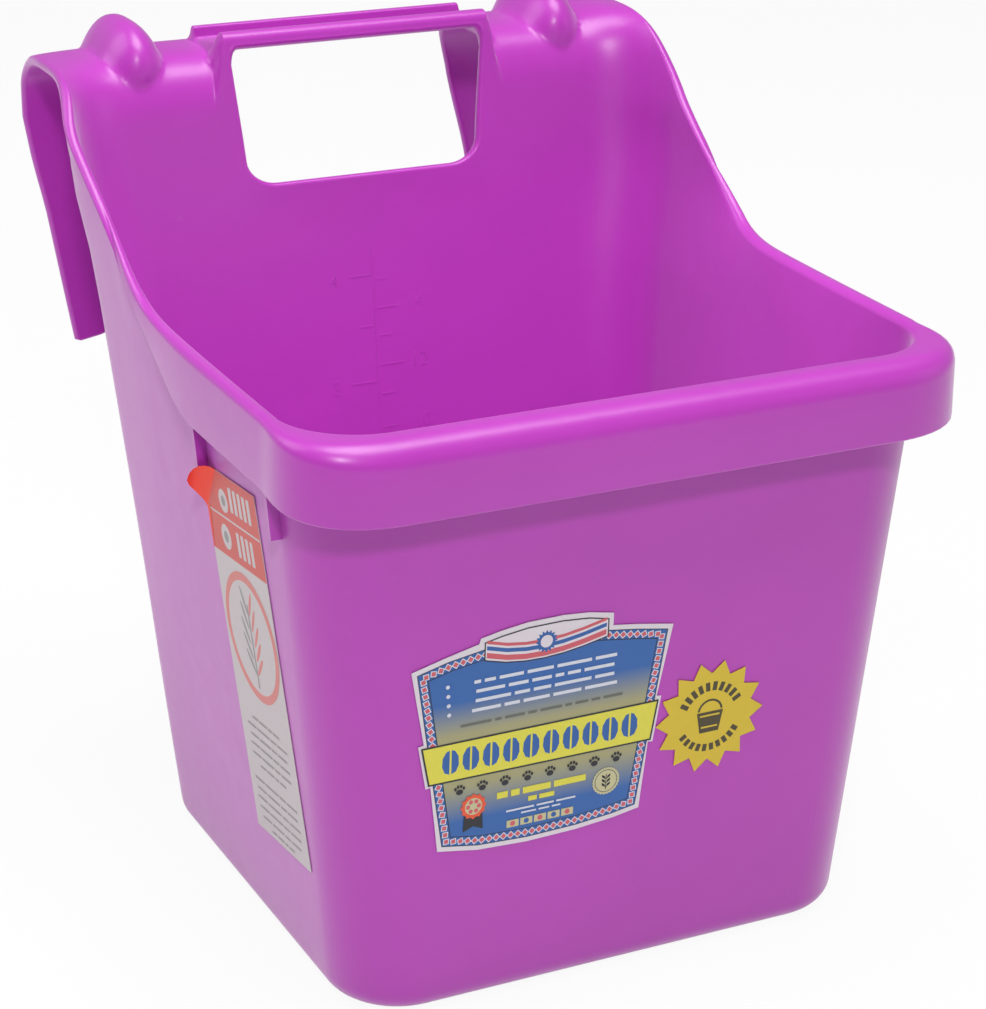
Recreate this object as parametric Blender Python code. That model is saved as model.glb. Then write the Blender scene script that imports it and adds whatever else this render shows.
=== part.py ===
"""Hook-over feeder: a tapered bucket that hangs on a rail by two broad hooks.

The feeder is one moulding. Its skin is a grid of stations round the tub and rows up its wall. At
the front and sides the skin ends in a rolled lip with a skirt. At the back it climbs, bends over
the rail and comes down as two hooks. A hand window lies between the hooks, under a bar with a
thinner rib behind it. Three thin stickers lie on the walls.
"""
from math import asin, atan2, cos, pi, radians, sin, sqrt, tan

import bmesh
import bpy
import numpy as np

# Tub, outer sizes in metres
RIM_HEIGHT = 0.2677
BASE_HALF_WIDTH = 0.1227
RIM_HALF_WIDTH = 0.1484
BASE_HALF_DEPTH = 0.1164
RIM_FRONT_DEPTH = 0.1267
RIM_BACK_DEPTH = 0.1516
BASE_CORNER_RADIUS = 0.0332
RIM_CORNER_RADIUS = 0.0375
BASE_EDGE_RADIUS = 0.0099
WALL = 0.0040
FLOOR = 0.0040
SIDE_LEAN = (RIM_HALF_WIDTH - BASE_HALF_WIDTH) / RIM_HEIGHT
FRONT_LEAN = (RIM_FRONT_DEPTH - BASE_HALF_DEPTH) / RIM_HEIGHT

# Side rims that climb to the hooks
CLIMB_START_SETBACK = 0.0996
CLIMB_START_Y = RIM_BACK_DEPTH - CLIMB_START_SETBACK
CLIMB_EASE = 0.016
CLIMB_SHARE = 0.82

# Rolled lip and its skirt
LIP_FRONT_REACH = 0.0139
LIP_SIDE_REACH = 0.0037
LIP_CLIMB_REACH = 0.0016
LIP_CORNER_REACH = 0.0030
SKIRT_FRONT_DROP = 0.0334
SKIRT_SIDE_DROP = 0.0300
SKIRT_CLIMB_DROP = 0.0065
SKIRT_WALL = 0.0038
SKIRT_DRAFT_SHARE = 0.012
SKIRT_FADE_START_SETBACK = 0.0660
SKIRT_FADE_START_Y = CLIMB_START_Y - SKIRT_FADE_START_SETBACK
SKIRT_FADE_END_REACH = 0.0100
SKIRT_FADE_END_Y = CLIMB_START_Y + SKIRT_FADE_END_REACH
NOTCH_FRONT_DROP = 0.0055
NOTCH_SIDE_DROP = 0.0120
NOTCH_CLIMB_DROP = 0.0080
LIP_INNER_ROUND = 0.0036
LIP_FRONT_ROUND = 0.0110
LIP_SIDE_ROUND = 0.0030
LIP_CLIMB_ROUND = 0.0016
SKIRT_EDGE_ROUND = 0.0012
NOTCH_ROUND = 0.0005
BARE_ROUND = 0.0002

# Hooks
HOOK_START_RISE = 0.0323
HOOK_START_HEIGHT = RIM_HEIGHT + HOOK_START_RISE
ARCH_CENTRE_RISE = 0.0135
ARCH_CENTRE_HEIGHT = HOOK_START_HEIGHT + ARCH_CENTRE_RISE
CROWN_RISE = 0.0361
CROWN_HEIGHT = ARCH_CENTRE_HEIGHT + CROWN_RISE
LEG_REACH = 0.0774
LEG_BACK_Y = RIM_BACK_DEPTH + LEG_REACH
HOOK_WALL = 0.0050
CROWN_HALF_WIDTH = BASE_HALF_WIDTH + (RIM_HALF_WIDTH - BASE_HALF_WIDTH) * CROWN_HEIGHT / RIM_HEIGHT
HOOK_OUTER_INSET = 0.0082627
HOOK_OUTER_HALF = CROWN_HALF_WIDTH - HOOK_OUTER_INSET
LEG_TOP_OUTER_INSET = 0.0056
LEG_TOP_OUTER_HALF = HOOK_OUTER_HALF - LEG_TOP_OUTER_INSET
FOOT_OUTER_INSET = 0.0194
FOOT_OUTER_HALF = LEG_TOP_OUTER_HALF - FOOT_OUTER_INSET
FOOT_WIDTH = 0.0220
FOOT_INNER_HALF = FOOT_OUTER_HALF - FOOT_WIDTH
FOOT_DROP = 0.0677
FOOT_HEIGHT = RIM_HEIGHT - FOOT_DROP
FOOT_TILT_SHARE = 0.17
FOOT_CORNER_ROUND = 0.0120
HOOK_EDGE_BULGE = 0.0018
ARCH_FRONT_SQUARENESS = 3.4
ARCH_BACK_SQUARENESS = 2.5
DOME_INSET = 0.0390
DOME_X = HOOK_OUTER_HALF - DOME_INSET
DOME_RISE = 0.0155
DOME_HALF_WIDTH = 0.0148
DOME_HALF_LENGTH = 0.0370
DOME_SOFT_SHARE = 0.08
DOME_HOLLOW_SHARE = 0.8

# Window, bar and rib
WINDOW_SILL_DROP = 0.0130
WINDOW_SILL_HEIGHT = HOOK_START_HEIGHT - WINDOW_SILL_DROP
WINDOW_HALF_WIDTH = 0.0612
LEG_TOP_INNER_REACH = 0.0188
LEG_TOP_INNER_HALF = WINDOW_HALF_WIDTH + LEG_TOP_INNER_REACH
WINDOW_FLARE_SHARE = 0.08
WINDOW_LOWER_ROUND = 0.0120
WINDOW_UPPER_ROUND = 0.0050
BAR_BOTTOM_RISE = 0.0052
BAR_BOTTOM_HEIGHT = CROWN_HEIGHT + BAR_BOTTOM_RISE
BAR_THICKNESS = 0.0048
BAR_TOP_HEIGHT = BAR_BOTTOM_HEIGHT + BAR_THICKNESS
BAR_DEPTH = 0.0066
BAR_FRONT_ROUND = 0.0044
BAR_BACK_ROUND = 0.0016
TROUGH_FRONT_DROP = 0.0050
TROUGH_BACK_DROP = 0.0092
TROUGH_ROUND = 0.0014
RIB_REACH = 0.0429
RIB_FRONT_Y = RIM_BACK_DEPTH + RIB_REACH
RIB_DEPTH = 0.0040
RIB_TOP_DROP = 0.0034
RIB_ROUND = 0.0012
RIB_FOOT_DROP = 0.0122
POST_WIDTH = 0.0083
POST_HALF_WIDTH = WINDOW_HALF_WIDTH + POST_WIDTH
GUSSET_EASE = 0.0010
BAR_END_EASE = 0.0030
GUSSET_LEAN_SHARE = 0.15
GUSSET_SOFT_SHARE = 0.3
UNDER_EASE = 0.0120
UNDER_CORNER_ROUND = 0.0060
WEB_UNDER_FRONT_DROP = 0.0076
WEB_UNDER_DROP = 0.0128

# Fins under the side skirts
FIN_FRONT_SETBACK = 0.0367
FIN_FRONT_Y = FIN_FRONT_SETBACK - RIM_FRONT_DEPTH
FIN_BACK_SETBACK = 0.0620
FIN_BACK_Y = CLIMB_START_Y - FIN_BACK_SETBACK
FIN_HALF = 0.0015
FIN_BOTTOM_DROP = 0.0517
FIN_BOTTOM_HEIGHT = RIM_HEIGHT - FIN_BOTTOM_DROP
FIN_TOP_DROP = 0.0227
FIN_TOP_HEIGHT = RIM_HEIGHT - FIN_TOP_DROP
FIN_SINK = 0.0032
FIN_BITE = 0.0023607
SKIRT_GAP = LIP_SIDE_REACH - SKIRT_WALL + SKIRT_DRAFT_SHARE * SKIRT_SIDE_DROP
FIN_REACH = SKIRT_GAP + SIDE_LEAN * FIN_TOP_DROP + FIN_BITE

# Stickers
STICKER_THICKNESS = 0.0003
STICKER_GAP = 0.0003
FRONT_LABEL_X = -0.0420
FRONT_LABEL_HEIGHT = 0.1250
FRONT_LABEL_HALF_WIDTH = 0.0600
FRONT_LABEL_HALF_HEIGHT = 0.0475
FRONT_LABEL_SHARES = (
    (-0.78, -1.0), (-0.4, -1.0), (0.0, -1.0), (0.4, -1.0), (0.8, -1.0), (0.87, -0.34), (0.92, 0.09),
    (1.0, 0.78), (0.53, 0.82), (0.53, 1.0), (0.2, 1.0), (-0.2, 1.0), (-0.5, 0.95), (-0.52, 0.89),
    (-1.0, 0.79), (-0.93, 0.09), (-0.88, -0.34))
BURST_X = 0.0387
BURST_HEIGHT = 0.1148
BURST_RADIUS = 0.0262
BURST_INNER_SHARE = 0.78
BURST_POINT_COUNT = 14
SIDE_LABEL_Y = -0.0430
SIDE_LABEL_FOOT_RISE = 0.0545
SIDE_LABEL_TOP_DROP = 0.0452
SIDE_LABEL_HALF_HEIGHT = (RIM_HEIGHT - SIDE_LABEL_TOP_DROP - SIDE_LABEL_FOOT_RISE) / 2
SIDE_LABEL_HEIGHT = SIDE_LABEL_FOOT_RISE + SIDE_LABEL_HALF_HEIGHT
SIDE_LABEL_HALF_WIDTH = 0.0306
SIDE_LABEL_TILT_DEGREES = 5.9
SIDE_LABEL_SHARES = (
    (-1.0, -1.0), (1.0, -1.0), (1.0, 0.88), (0.28, 0.88), (0.28, 1.0), (-1.0, 1.0))

# How finely the skin is divided
FRONT_SPAN_COUNT = 2
FRONT_CORNER_SPAN_COUNT = 6
SIDE_SPAN_COUNT = 7
CLIMB_SPAN_COUNT = 5
HOOK_CORNER_SPAN_COUNT = 5
FLAT_SPAN_COUNT = 9
WINDOW_FLAT_SPAN_COUNT = 2
WINDOW_CORNER_SPAN_COUNT = 4
FILLET_SPAN_COUNT = 3
WALL_SPAN_COUNT = 4
RISE_SPAN_COUNT = 1
ARCH_FRONT_DEGREES = (0, 14, 27, 38, 46)
ARCH_BACK_DEGREES = (118, 133, 149, 165, 180)
BAR_START_DEGREES = 50
RIB_END_DEGREES = 104
LEG_SPAN_COUNT = 4
HANDLE_SPAN_COUNTS = (3, 3, 1, 1, 1, 1)
BAR_CORNER_COUNT = 3
BAR_POINT_COUNT = sum(HANDLE_SPAN_COUNTS[:BAR_CORNER_COUNT]) + BAR_CORNER_COUNT
TROUGH_SPAN_COUNT = 3
POST_SHARES = (-1, -0.33, 0.33, 1, 3)
LIP_SPAN_COUNTS = (2, 4, 2, 2, 1, 1)
EDGE_POINT_COUNT = 16
CLIMB_SPLIT_SHARE = 0.62
OUTER_SPAN_COUNT = 2
UNDER_CORNER_SPAN_COUNT = 6
SETTLE_COUNT = 4
LIP_ROOT_SHARE = 2
BARE_CORNER_SHARES = (1 / 3, 2 / 3)
TINY = 1e-6
PROBE = 1e-4
PROBE_ANGLE_SHARE = 0.004
PROBE_END_SHARE = 0.001

# Finish
PURPLE = (0.45, 0.04, 0.44)
PLASTIC_ROUGHNESS = 0.35
LABEL_BLUE = (0.08, 0.2, 0.42)
BURST_YELLOW = (0.75, 0.5, 0.03)
PAPER_GREY = (0.65, 0.6, 0.62)
LABEL_ROUGHNESS = 0.3
PAPER_ROUGHNESS = 0.5
SHARP_DEGREES = 40


def lerp(a, b, t):
    return a + (b - a) * t


def ease(a, b, value):
    """0 below a, 1 above b and a smooth step between."""
    t = min(1.0, max(0.0, (value - a) / (b - a)))
    return t * t * (3 - 2 * t)


def unit(v):
    return v / np.linalg.norm(v)


def rounded(corners, radii, spans):
    """The open outline through corners, each inner corner turned into an arc."""
    points = []
    for i in range(1, len(corners) - 1):
        here = np.array(corners[i])
        back = unit(np.array(corners[i - 1]) - here)
        ahead = unit(np.array(corners[i + 1]) - here)
        half = np.arccos(np.clip(back @ ahead, -1, 1)) / 2
        reach = radii[i - 1] / tan(half)
        centre = here + unit(back + ahead) * radii[i - 1] / sin(half)
        start = here + back * reach - centre
        end = here + ahead * reach - centre
        turn = atan2(start[0] * end[1] - start[1] * end[0], start @ end)
        for step in range(spans[i - 1] + 1):
            a = turn * step / spans[i - 1]
            spun = (start[0] * cos(a) - start[1] * sin(a), start[0] * sin(a) + start[1] * cos(a))
            points.append(centre + np.array(spun))
    return points


def tub_half_width(z):
    return lerp(BASE_HALF_WIDTH, RIM_HALF_WIDTH, z / RIM_HEIGHT)


def tub_front(z):
    return -lerp(BASE_HALF_DEPTH, RIM_FRONT_DEPTH, z / RIM_HEIGHT)


def tub_back(z):
    return lerp(BASE_HALF_DEPTH, RIM_BACK_DEPTH, z / RIM_HEIGHT)


def corner_radius(z):
    return lerp(BASE_CORNER_RADIUS, RIM_CORNER_RADIUS, z / RIM_HEIGHT)


def plan(station, z, inset):
    """A station's place and outward direction on the tub's plan at height z."""
    zone, value = station
    w = tub_half_width(z)
    f = tub_front(z)
    b = tub_back(z)
    r = corner_radius(z)
    if zone == "front":
        return np.array((value * (w - r), f + inset, z)), np.array((0.0, -1.0, 0.0))
    if zone == "front_corner":
        n = np.array((sin(value), -cos(value), 0.0))
        return np.array((w - r, f + r, z)) + n * (r - inset), n
    if zone == "side":
        return np.array((w - inset, lerp(f + r, b - r, value), z)), np.array((1.0, 0.0, 0.0))
    if zone == "back_corner":
        n = np.array((sin(value), cos(value), 0.0))
        return np.array((w - r, b - r, z)) + n * (r - inset), n
    return np.array((value * (w - r), b - inset, z)), np.array((0.0, 1.0, 0.0))


def rim_height(y):
    """Height of the rim's top edge at depth y: level, then a steady climb."""
    d = y - CLIMB_START_Y
    return RIM_HEIGHT + CLIMB_SHARE * (d + sqrt(d * d + CLIMB_EASE**2)) / 2


def edge_depth(z):
    """Depth y of the top skin's edge at height z, set back from the climbing rim by its bulge."""
    q = 2 * (z + HOOK_EDGE_BULGE * sqrt(1 + CLIMB_SHARE**2) - RIM_HEIGHT) / CLIMB_SHARE
    return CLIMB_START_Y + (q * q - CLIMB_EASE**2) / (2 * q)


def hook_start_share():
    """Where along the side's straight run the hook's outer edge leaves the rim."""
    z = HOOK_START_HEIGHT
    front = tub_front(z) + corner_radius(z)
    back = tub_back(z) - corner_radius(z)
    return (edge_depth(z) - front) / (back - front)


def steps(start, end, spans):
    return [lerp(start, end, i / spans) for i in range(spans)]


def window_half_width(z):
    return WINDOW_HALF_WIDTH + WINDOW_FLARE_SHARE * (z - HOOK_START_HEIGHT)


def back_run(z):
    """Half width of the back wall's flat part."""
    return tub_half_width(z) - corner_radius(z)


def post_stations():
    """Half widths, at crown height, of the stations that carry the post and its gusset."""
    window = window_half_width(BAR_BOTTOM_HEIGHT)
    places = [(window + POST_HALF_WIDTH - GUSSET_EASE) / 2]
    places += [POST_HALF_WIDTH + GUSSET_EASE * v for v in POST_SHARES]
    return places


def gusset_edge(z):
    """Half width of the post at height z, and half the width of its soft edge."""
    spread = GUSSET_LEAN_SHARE * max(0, CROWN_HEIGHT - z)
    return POST_HALF_WIDTH + spread, GUSSET_EASE + spread * GUSSET_SOFT_SHARE


def list_stations():
    """Stations of the right half, from the middle of the front to the middle of the back."""
    share = hook_start_share()
    climb = share * CLIMB_SPLIT_SHARE
    stations = [("front", v) for v in steps(0, 1, FRONT_SPAN_COUNT)]
    stations += [("front_corner", v) for v in steps(0, pi / 2, FRONT_CORNER_SPAN_COUNT)]
    stations += [("side", v) for v in steps(0, climb, SIDE_SPAN_COUNT)]
    stations += [("side", v) for v in steps(climb, share, CLIMB_SPAN_COUNT)]
    outer = len(stations)
    stations += [("side", v) for v in steps(share, 1, OUTER_SPAN_COUNT)]
    stations += [("back_corner", v) for v in steps(pi / 2, 0, HOOK_CORNER_SPAN_COUNT)]
    run = back_run(HOOK_START_HEIGHT)
    window = window_half_width(HOOK_START_HEIGHT) / run
    crown = back_run(CROWN_HEIGHT)
    top = window_half_width(BAR_BOTTOM_HEIGHT)
    posts = [(v - top) / (crown - top) for v in post_stations()]
    shares = steps(1, posts[-1], FLAT_SPAN_COUNT) + posts[::-1]
    stations += [("back", lerp(window, 1, v)) for v in shares]
    inner = len(stations)
    stations.append(("back", window))
    corner = window - WINDOW_LOWER_ROUND / run
    spans = WINDOW_CORNER_SPAN_COUNT
    stations += [("back", lerp(corner, window, cos(pi / 2 * i / spans))) for i in range(1, spans)]
    stations += [("back", v) for v in steps(corner, 0, WINDOW_FLAT_SPAN_COUNT)]
    stations.append(("back", 0.0))
    return stations, outer, inner


def list_rows():
    """The hooks' rows after the start row: up the wall, over the arch and down the leg."""
    rows = [("rise", v) for v in steps(HOOK_START_HEIGHT, ARCH_CENTRE_HEIGHT, RISE_SPAN_COUNT)][1:]
    rows += [("arch", radians(v)) for v in ARCH_FRONT_DEGREES]
    bar = len(rows) - 1
    shares = path_shares(HANDLE)
    rows += [("arch", radians(lerp(BAR_START_DEGREES, RIB_END_DEGREES, v))) for v in shares]
    rib = len(rows) - 1
    rows += [("arch", radians(v)) for v in ARCH_BACK_DEGREES]
    rows += [("leg", (i + 1) / LEG_SPAN_COUNT) for i in range(LEG_SPAN_COUNT)]
    return rows, bar, rib


def path_shares(points):
    """Each point's distance along the path, as a share of the whole."""
    lengths = [0.0]
    for a, b in zip(points, points[1:]):
        lengths.append(lengths[-1] + float(np.linalg.norm(np.array(b) - np.array(a))))
    return [v / lengths[-1] for v in lengths]


def wall_face(z):
    """Depth y of the back wall's inner face."""
    return tub_back(z) - WALL


def handle_outline():
    """Section through bar, trough and rib, as (y, z) from the bar's front to the rib's back foot."""
    top = BAR_TOP_HEIGHT
    front = wall_face(top)
    back = RIB_FRONT_Y + RIB_DEPTH
    corners = [(wall_face(BAR_BOTTOM_HEIGHT), BAR_BOTTOM_HEIGHT), (front, top)]
    corners += [(front + BAR_DEPTH, top), (front + BAR_DEPTH, top - TROUGH_FRONT_DROP)]
    corners += [(RIB_FRONT_Y, top - TROUGH_BACK_DROP), (RIB_FRONT_Y, top - RIB_TOP_DROP)]
    corners += [(back, top - RIB_TOP_DROP), (back, top - RIB_FOOT_DROP)]
    radii = (BAR_FRONT_ROUND, BAR_BACK_ROUND, TROUGH_ROUND, TROUGH_ROUND, RIB_ROUND, RIB_ROUND)
    outline = rounded(corners, radii, HANDLE_SPAN_COUNTS)
    first = BAR_POINT_COUNT
    trough = steps(outline[first - 1], outline[first], TROUGH_SPAN_COUNT)[1:]
    return outline[:first] + trough + outline[first:] + [np.array(corners[-1])]


def wall_place(a, z, inset):
    """A place on the tub's plan, a along the wall from the end of the flat back."""
    r = corner_radius(z) - inset
    xc = tub_half_width(z) - corner_radius(z)
    yc = tub_back(z) - corner_radius(z)
    if a < 0:
        return np.array((xc + a, yc + r, z))
    if a < r * pi / 2:
        return np.array((xc + r * sin(a / r), yc + r * cos(a / r), z))
    return np.array((xc + r, yc - (a - r * pi / 2), z))


def arch_shape(angle):
    """Share of the arch's reach and of its rise at an angle over it, squarer at the front."""
    squareness = ARCH_FRONT_SQUARENESS if angle < pi / 2 else ARCH_BACK_SQUARENESS
    c = abs(cos(angle)) ** (2 / squareness) * (1 if cos(angle) > 0 else -1)
    return 1 - c, abs(sin(angle)) ** (2 / squareness)


def plain_skin(a, row):
    """The hooks' top skin before the domes and the handle are added."""
    kind, value = row
    if kind == "rise":
        return wall_place(a, value, WALL)
    base = wall_place(a, ARCH_CENTRE_HEIGHT, WALL)
    angle = value if kind == "arch" else pi
    reach, rise = arch_shape(angle)
    z = lerp(ARCH_CENTRE_HEIGHT, CROWN_HEIGHT, rise)
    lean = wall_place(a, z, WALL)[1] - base[1]
    y = base[1] + (LEG_BACK_Y - base[1]) / 2 * reach + lean * max(0, 1 - reach)
    x = wall_place(a, z if angle < pi / 2 else CROWN_HEIGHT, WALL)[0]
    if kind == "leg":
        foot = foot_height(x)
        z = lerp(ARCH_CENTRE_HEIGHT, foot, value)
    return np.array((x, y, z))


def foot_height(x):
    """The foot's lower edge: square to the outer edge, with its inner corner rounded."""
    z = FOOT_HEIGHT + FOOT_TILT_SHARE * (FOOT_OUTER_HALF - x)
    past = FOOT_INNER_HALF + FOOT_CORNER_ROUND - x
    if past > 0:
        z += FOOT_CORNER_ROUND - sqrt(max(0, FOOT_CORNER_ROUND**2 - min(past, FOOT_CORNER_ROUND) ** 2))
    return z


def arc_at(x):
    """Distance a along the wall, at crown height, for a half width x."""
    r = corner_radius(CROWN_HEIGHT) - WALL
    past = x - (tub_half_width(CROWN_HEIGHT) - corner_radius(CROWN_HEIGHT))
    return past if past < 0 else r * asin(past / r)


def outer_edge(row):
    """Distance a of the hook's outer edge on a row."""
    kind, value = row
    if kind == "rise":
        r = corner_radius(value) - WALL
        return r * pi / 2 + tub_back(value) - corner_radius(value) - edge_depth(value)
    if kind == "leg":
        return arc_at(lerp(LEG_TOP_OUTER_HALF, FOOT_OUTER_HALF, value))
    if value > pi / 2:
        t = ease(pi / 2, pi, value)
        return arc_at(lerp(HOOK_OUTER_HALF, LEG_TOP_OUTER_HALF, t))
    start = outer_edge(("rise", ARCH_CENTRE_HEIGHT))
    crown = arc_at(HOOK_OUTER_HALF)
    rise = arch_shape(value)[1]
    power = (CROWN_HEIGHT - ARCH_CENTRE_HEIGHT) / CLIMB_SHARE / (start - crown)
    return lerp(crown, start, (1 - rise) ** power)


def inner_edge(row, bar_share):
    """Half width of the hook's inner edge on a row."""
    kind, value = row
    top = window_half_width(BAR_BOTTOM_HEIGHT)
    if kind == "rise":
        return window_half_width(value)
    if kind == "leg":
        return lerp(LEG_TOP_INNER_HALF, FOOT_INNER_HALF, value)
    end = radians(RIB_END_DEGREES)
    if value > end:
        return lerp(top, LEG_TOP_INNER_HALF, (value - end) / (pi - end))
    z = lerp(ARCH_CENTRE_HEIGHT, BAR_BOTTOM_HEIGHT, bar_share)
    return window_half_width(z)


def bump(x, distance):
    """Height of the hook's dome at half width x and distance along the arch from its crown."""
    u = (x - DOME_X) / DOME_HALF_WIDTH
    v = distance / DOME_HALF_LENGTH
    rise = 1 - u * u - v * v
    soft = DOME_SOFT_SHARE
    return DOME_RISE * (rise + sqrt(rise * rise + soft * soft)) / 2


def skin_normal(a, row):
    """The way from the hooks' top skin into the plastic, by small steps along the skin."""
    kind, value = row
    if kind == "leg":
        return np.array((0.0, -1.0, 0.0))
    sideways = plain_skin(a + PROBE, row) - plain_skin(a - PROBE, row)
    if kind == "rise":
        ahead = plain_skin(a, (kind, value + PROBE)) - plain_skin(a, (kind, value - PROBE))
    else:
        start = max(value - PROBE_ANGLE_SHARE, PROBE_END_SHARE)
        end = min(value + PROBE_ANGLE_SHARE, pi - PROBE_END_SHARE)
        ahead = plain_skin(a, (kind, end)) - plain_skin(a, (kind, start))
    return unit(np.cross(ahead, sideways))


def round_edge(start, end, out):
    """Points from start to end over a rounded edge that stands out between them."""
    turns = [pi * m / (EDGE_POINT_COUNT + 1) for m in range(EDGE_POINT_COUNT + 2)]
    return [lerp(start, end, (1 - cos(v)) / 2) + out * HOOK_EDGE_BULGE * sin(v) for v in turns]


class Moulding:
    """The right half of the feeder's skin, as two grids joined by a band round their edge."""

    def __init__(self):
        self.stations, self.outer, self.inner = list_stations()
        self.rows, self.bar, self.rib = list_rows()
        self.last = len(self.stations) - 1
        self.floor_rows = FILLET_SPAN_COUNT + WALL_SPAN_COUNT
        self.top = {}
        self.under = {}
        self.edges = {}
        self.set_hook_shares()
        self.set_walls()
        self.set_hooks()
        self.set_window_bar()
        self.set_bands()

    def set_hook_shares(self):
        """Place of each hook station between the window, the flat back's end and the outer edge."""
        self.shares = {}
        row = ("rise", HOOK_START_HEIGHT)
        far = outer_edge(row)
        r = corner_radius(HOOK_START_HEIGHT) - WALL
        for k in range(self.outer, self.inner + 1):
            zone, value = self.stations[k]
            if zone == "side":
                depth = plan(self.stations[k], HOOK_START_HEIGHT, WALL)[0][1]
                yc = tub_back(HOOK_START_HEIGHT) - corner_radius(HOOK_START_HEIGHT)
                self.shares[k] = (r * pi / 2 + yc - depth) / far
            elif zone == "back_corner":
                self.shares[k] = r * value / far
            else:
                run = back_run(HOOK_START_HEIGHT)
                window = window_half_width(HOOK_START_HEIGHT)
                self.shares[k] = -(1 - (value * run - window) / (run - window))

    def place_on_wall(self, k, row):
        """Distance a of hook station k on a row."""
        share = self.shares[k]
        if share >= 0:
            return share * outer_edge(row)
        z = self.row_height(row)
        edge = inner_edge(row, self.bar_share(row))
        run = back_run(z)
        if row[0] == "leg" or row[1] > radians(RIB_END_DEGREES):
            return -share * (edge - run)
        post, soft = gusset_edge(z)
        marks = [edge] + [post + soft * v for v in POST_SHARES] + [run]
        top = window_half_width(BAR_BOTTOM_HEIGHT)
        crown = back_run(CROWN_HEIGHT)
        places = [0] + [(v - top) / (crown - top) for v in post_stations()[1:]] + [1]
        return np.interp(1 + share, places, marks) - run

    def bar_share(self, row):
        """How far up the post a front row lies, as a share of its way to the bar."""
        kind, value = row
        last = arch_shape(radians(ARCH_FRONT_DEGREES[-1]))[1]
        return min(1, arch_shape(value)[1] / last) if kind == "arch" else 0

    def row_height(self, row):
        kind, value = row
        if kind == "rise":
            return value
        angle = value if kind == "arch" else pi
        if angle > pi / 2:
            return CROWN_HEIGHT
        return lerp(ARCH_CENTRE_HEIGHT, CROWN_HEIGHT, arch_shape(angle)[1])

    def rim_frame(self, k):
        """The rim's reference place, its outward direction and its upward one."""
        station = self.stations[k]
        z = RIM_HEIGHT
        if station[0] == "side":
            for _ in range(SETTLE_COUNT):
                z = rim_height(plan(station, z, 0)[0][1])
        if k == self.outer:
            z = HOOK_START_HEIGHT
        place, out = plan(station, z, 0)
        slope = 0.0
        if station[0] == "side":
            d = place[1] - CLIMB_START_Y
            slope = CLIMB_SHARE * (1 + d / sqrt(d * d + CLIMB_EASE**2)) / 2
        up = unit(np.array((0.0, -slope, 1.0)))
        return place, out, up

    def lip_section(self, k):
        """The lip's section at a rim station, as outward and upward distances."""
        zone, value = self.stations[k]
        depth = self.rim_frame(k)[0][1]
        front = {"front": 1.0, "front_corner": cos(value)}.get(zone, 0.0)
        side = {"front": 0.0, "front_corner": sin(value)}.get(zone, 1.0)
        blend = front * front
        reach = LIP_FRONT_REACH * front + LIP_SIDE_REACH * side
        reach += LIP_CORNER_REACH * 2 * front * side
        lean = lerp(SIDE_LEAN, FRONT_LEAN, blend)
        drop = lerp(SKIRT_SIDE_DROP, SKIRT_FRONT_DROP, blend)
        notch = lerp(NOTCH_SIDE_DROP, NOTCH_FRONT_DROP, blend)
        foot = reach + SKIRT_DRAFT_SHARE * drop
        inside = foot - SKIRT_WALL
        low = LIP_ROOT_SHARE * drop
        corners = [(-WALL - lean * low, -low), (-WALL, 0), (reach, 0), (foot, -drop)]
        corners += [(inside, -drop), (inside - SKIRT_DRAFT_SHARE * (drop - notch), -notch)]
        corners += [(-lean * notch, -notch), (-lean * low, -low)]
        top_round = lerp(LIP_SIDE_ROUND, LIP_FRONT_ROUND, blend)
        radii = [LIP_INNER_ROUND, top_round, SKIRT_EDGE_ROUND, SKIRT_EDGE_ROUND]
        skirted = rounded(corners, radii + [NOTCH_ROUND, NOTCH_ROUND], LIP_SPAN_COUNTS)
        climb = ease(SKIRT_FADE_START_Y, SKIRT_FADE_END_Y, depth) if zone == "side" else 0
        bare = self.bare_lip_section()
        return [lerp(a, b, climb) for a, b in zip(skirted, bare)]

    def bare_lip_section(self):
        """The lip's section on the climb, where its skirt has run out."""
        drop = SKIRT_CLIMB_DROP
        notch = NOTCH_CLIMB_DROP
        reach = LIP_CLIMB_REACH
        low = LIP_ROOT_SHARE * notch
        corners = [(-WALL - SIDE_LEAN * low, -low), (-WALL, 0), (reach, 0), (reach, -drop)]
        upper, lower = (lerp(drop, notch, v) for v in BARE_CORNER_SHARES)
        corners += [(reach / 2, -upper), (0, -lower)]
        corners += [(-SIDE_LEAN * notch, -notch), (-SIDE_LEAN * low, -low)]
        radii = [LIP_INNER_ROUND, LIP_CLIMB_ROUND] + [BARE_ROUND] * 4
        return rounded(corners, radii, LIP_SPAN_COUNTS)

    def set_walls(self):
        """The floor's fillets, the walls and the rolled lip."""
        for k, station in enumerate(self.stations):
            if k < self.outer:
                band = self.rim_band(k)
            elif k <= self.inner:
                band = [plan(station, HOOK_START_HEIGHT, v)[0] for v in (WALL, WALL - HOOK_WALL)]
            else:
                z = self.sill_height(station)
                thicker = (z - WINDOW_SILL_HEIGHT) / (HOOK_START_HEIGHT - WINDOW_SILL_HEIGHT)
                insets = (WALL, (WALL - HOOK_WALL) * thicker)
                band = [plan(station, z, v)[0] for v in insets]
            self.edges[k] = band
            inner_round = BASE_EDGE_RADIUS - WALL
            self.set_column(self.top, k, band[0], WALL, FLOOR, inner_round)
            self.set_column(self.under, k, band[-1], 0, 0, BASE_EDGE_RADIUS)

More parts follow.
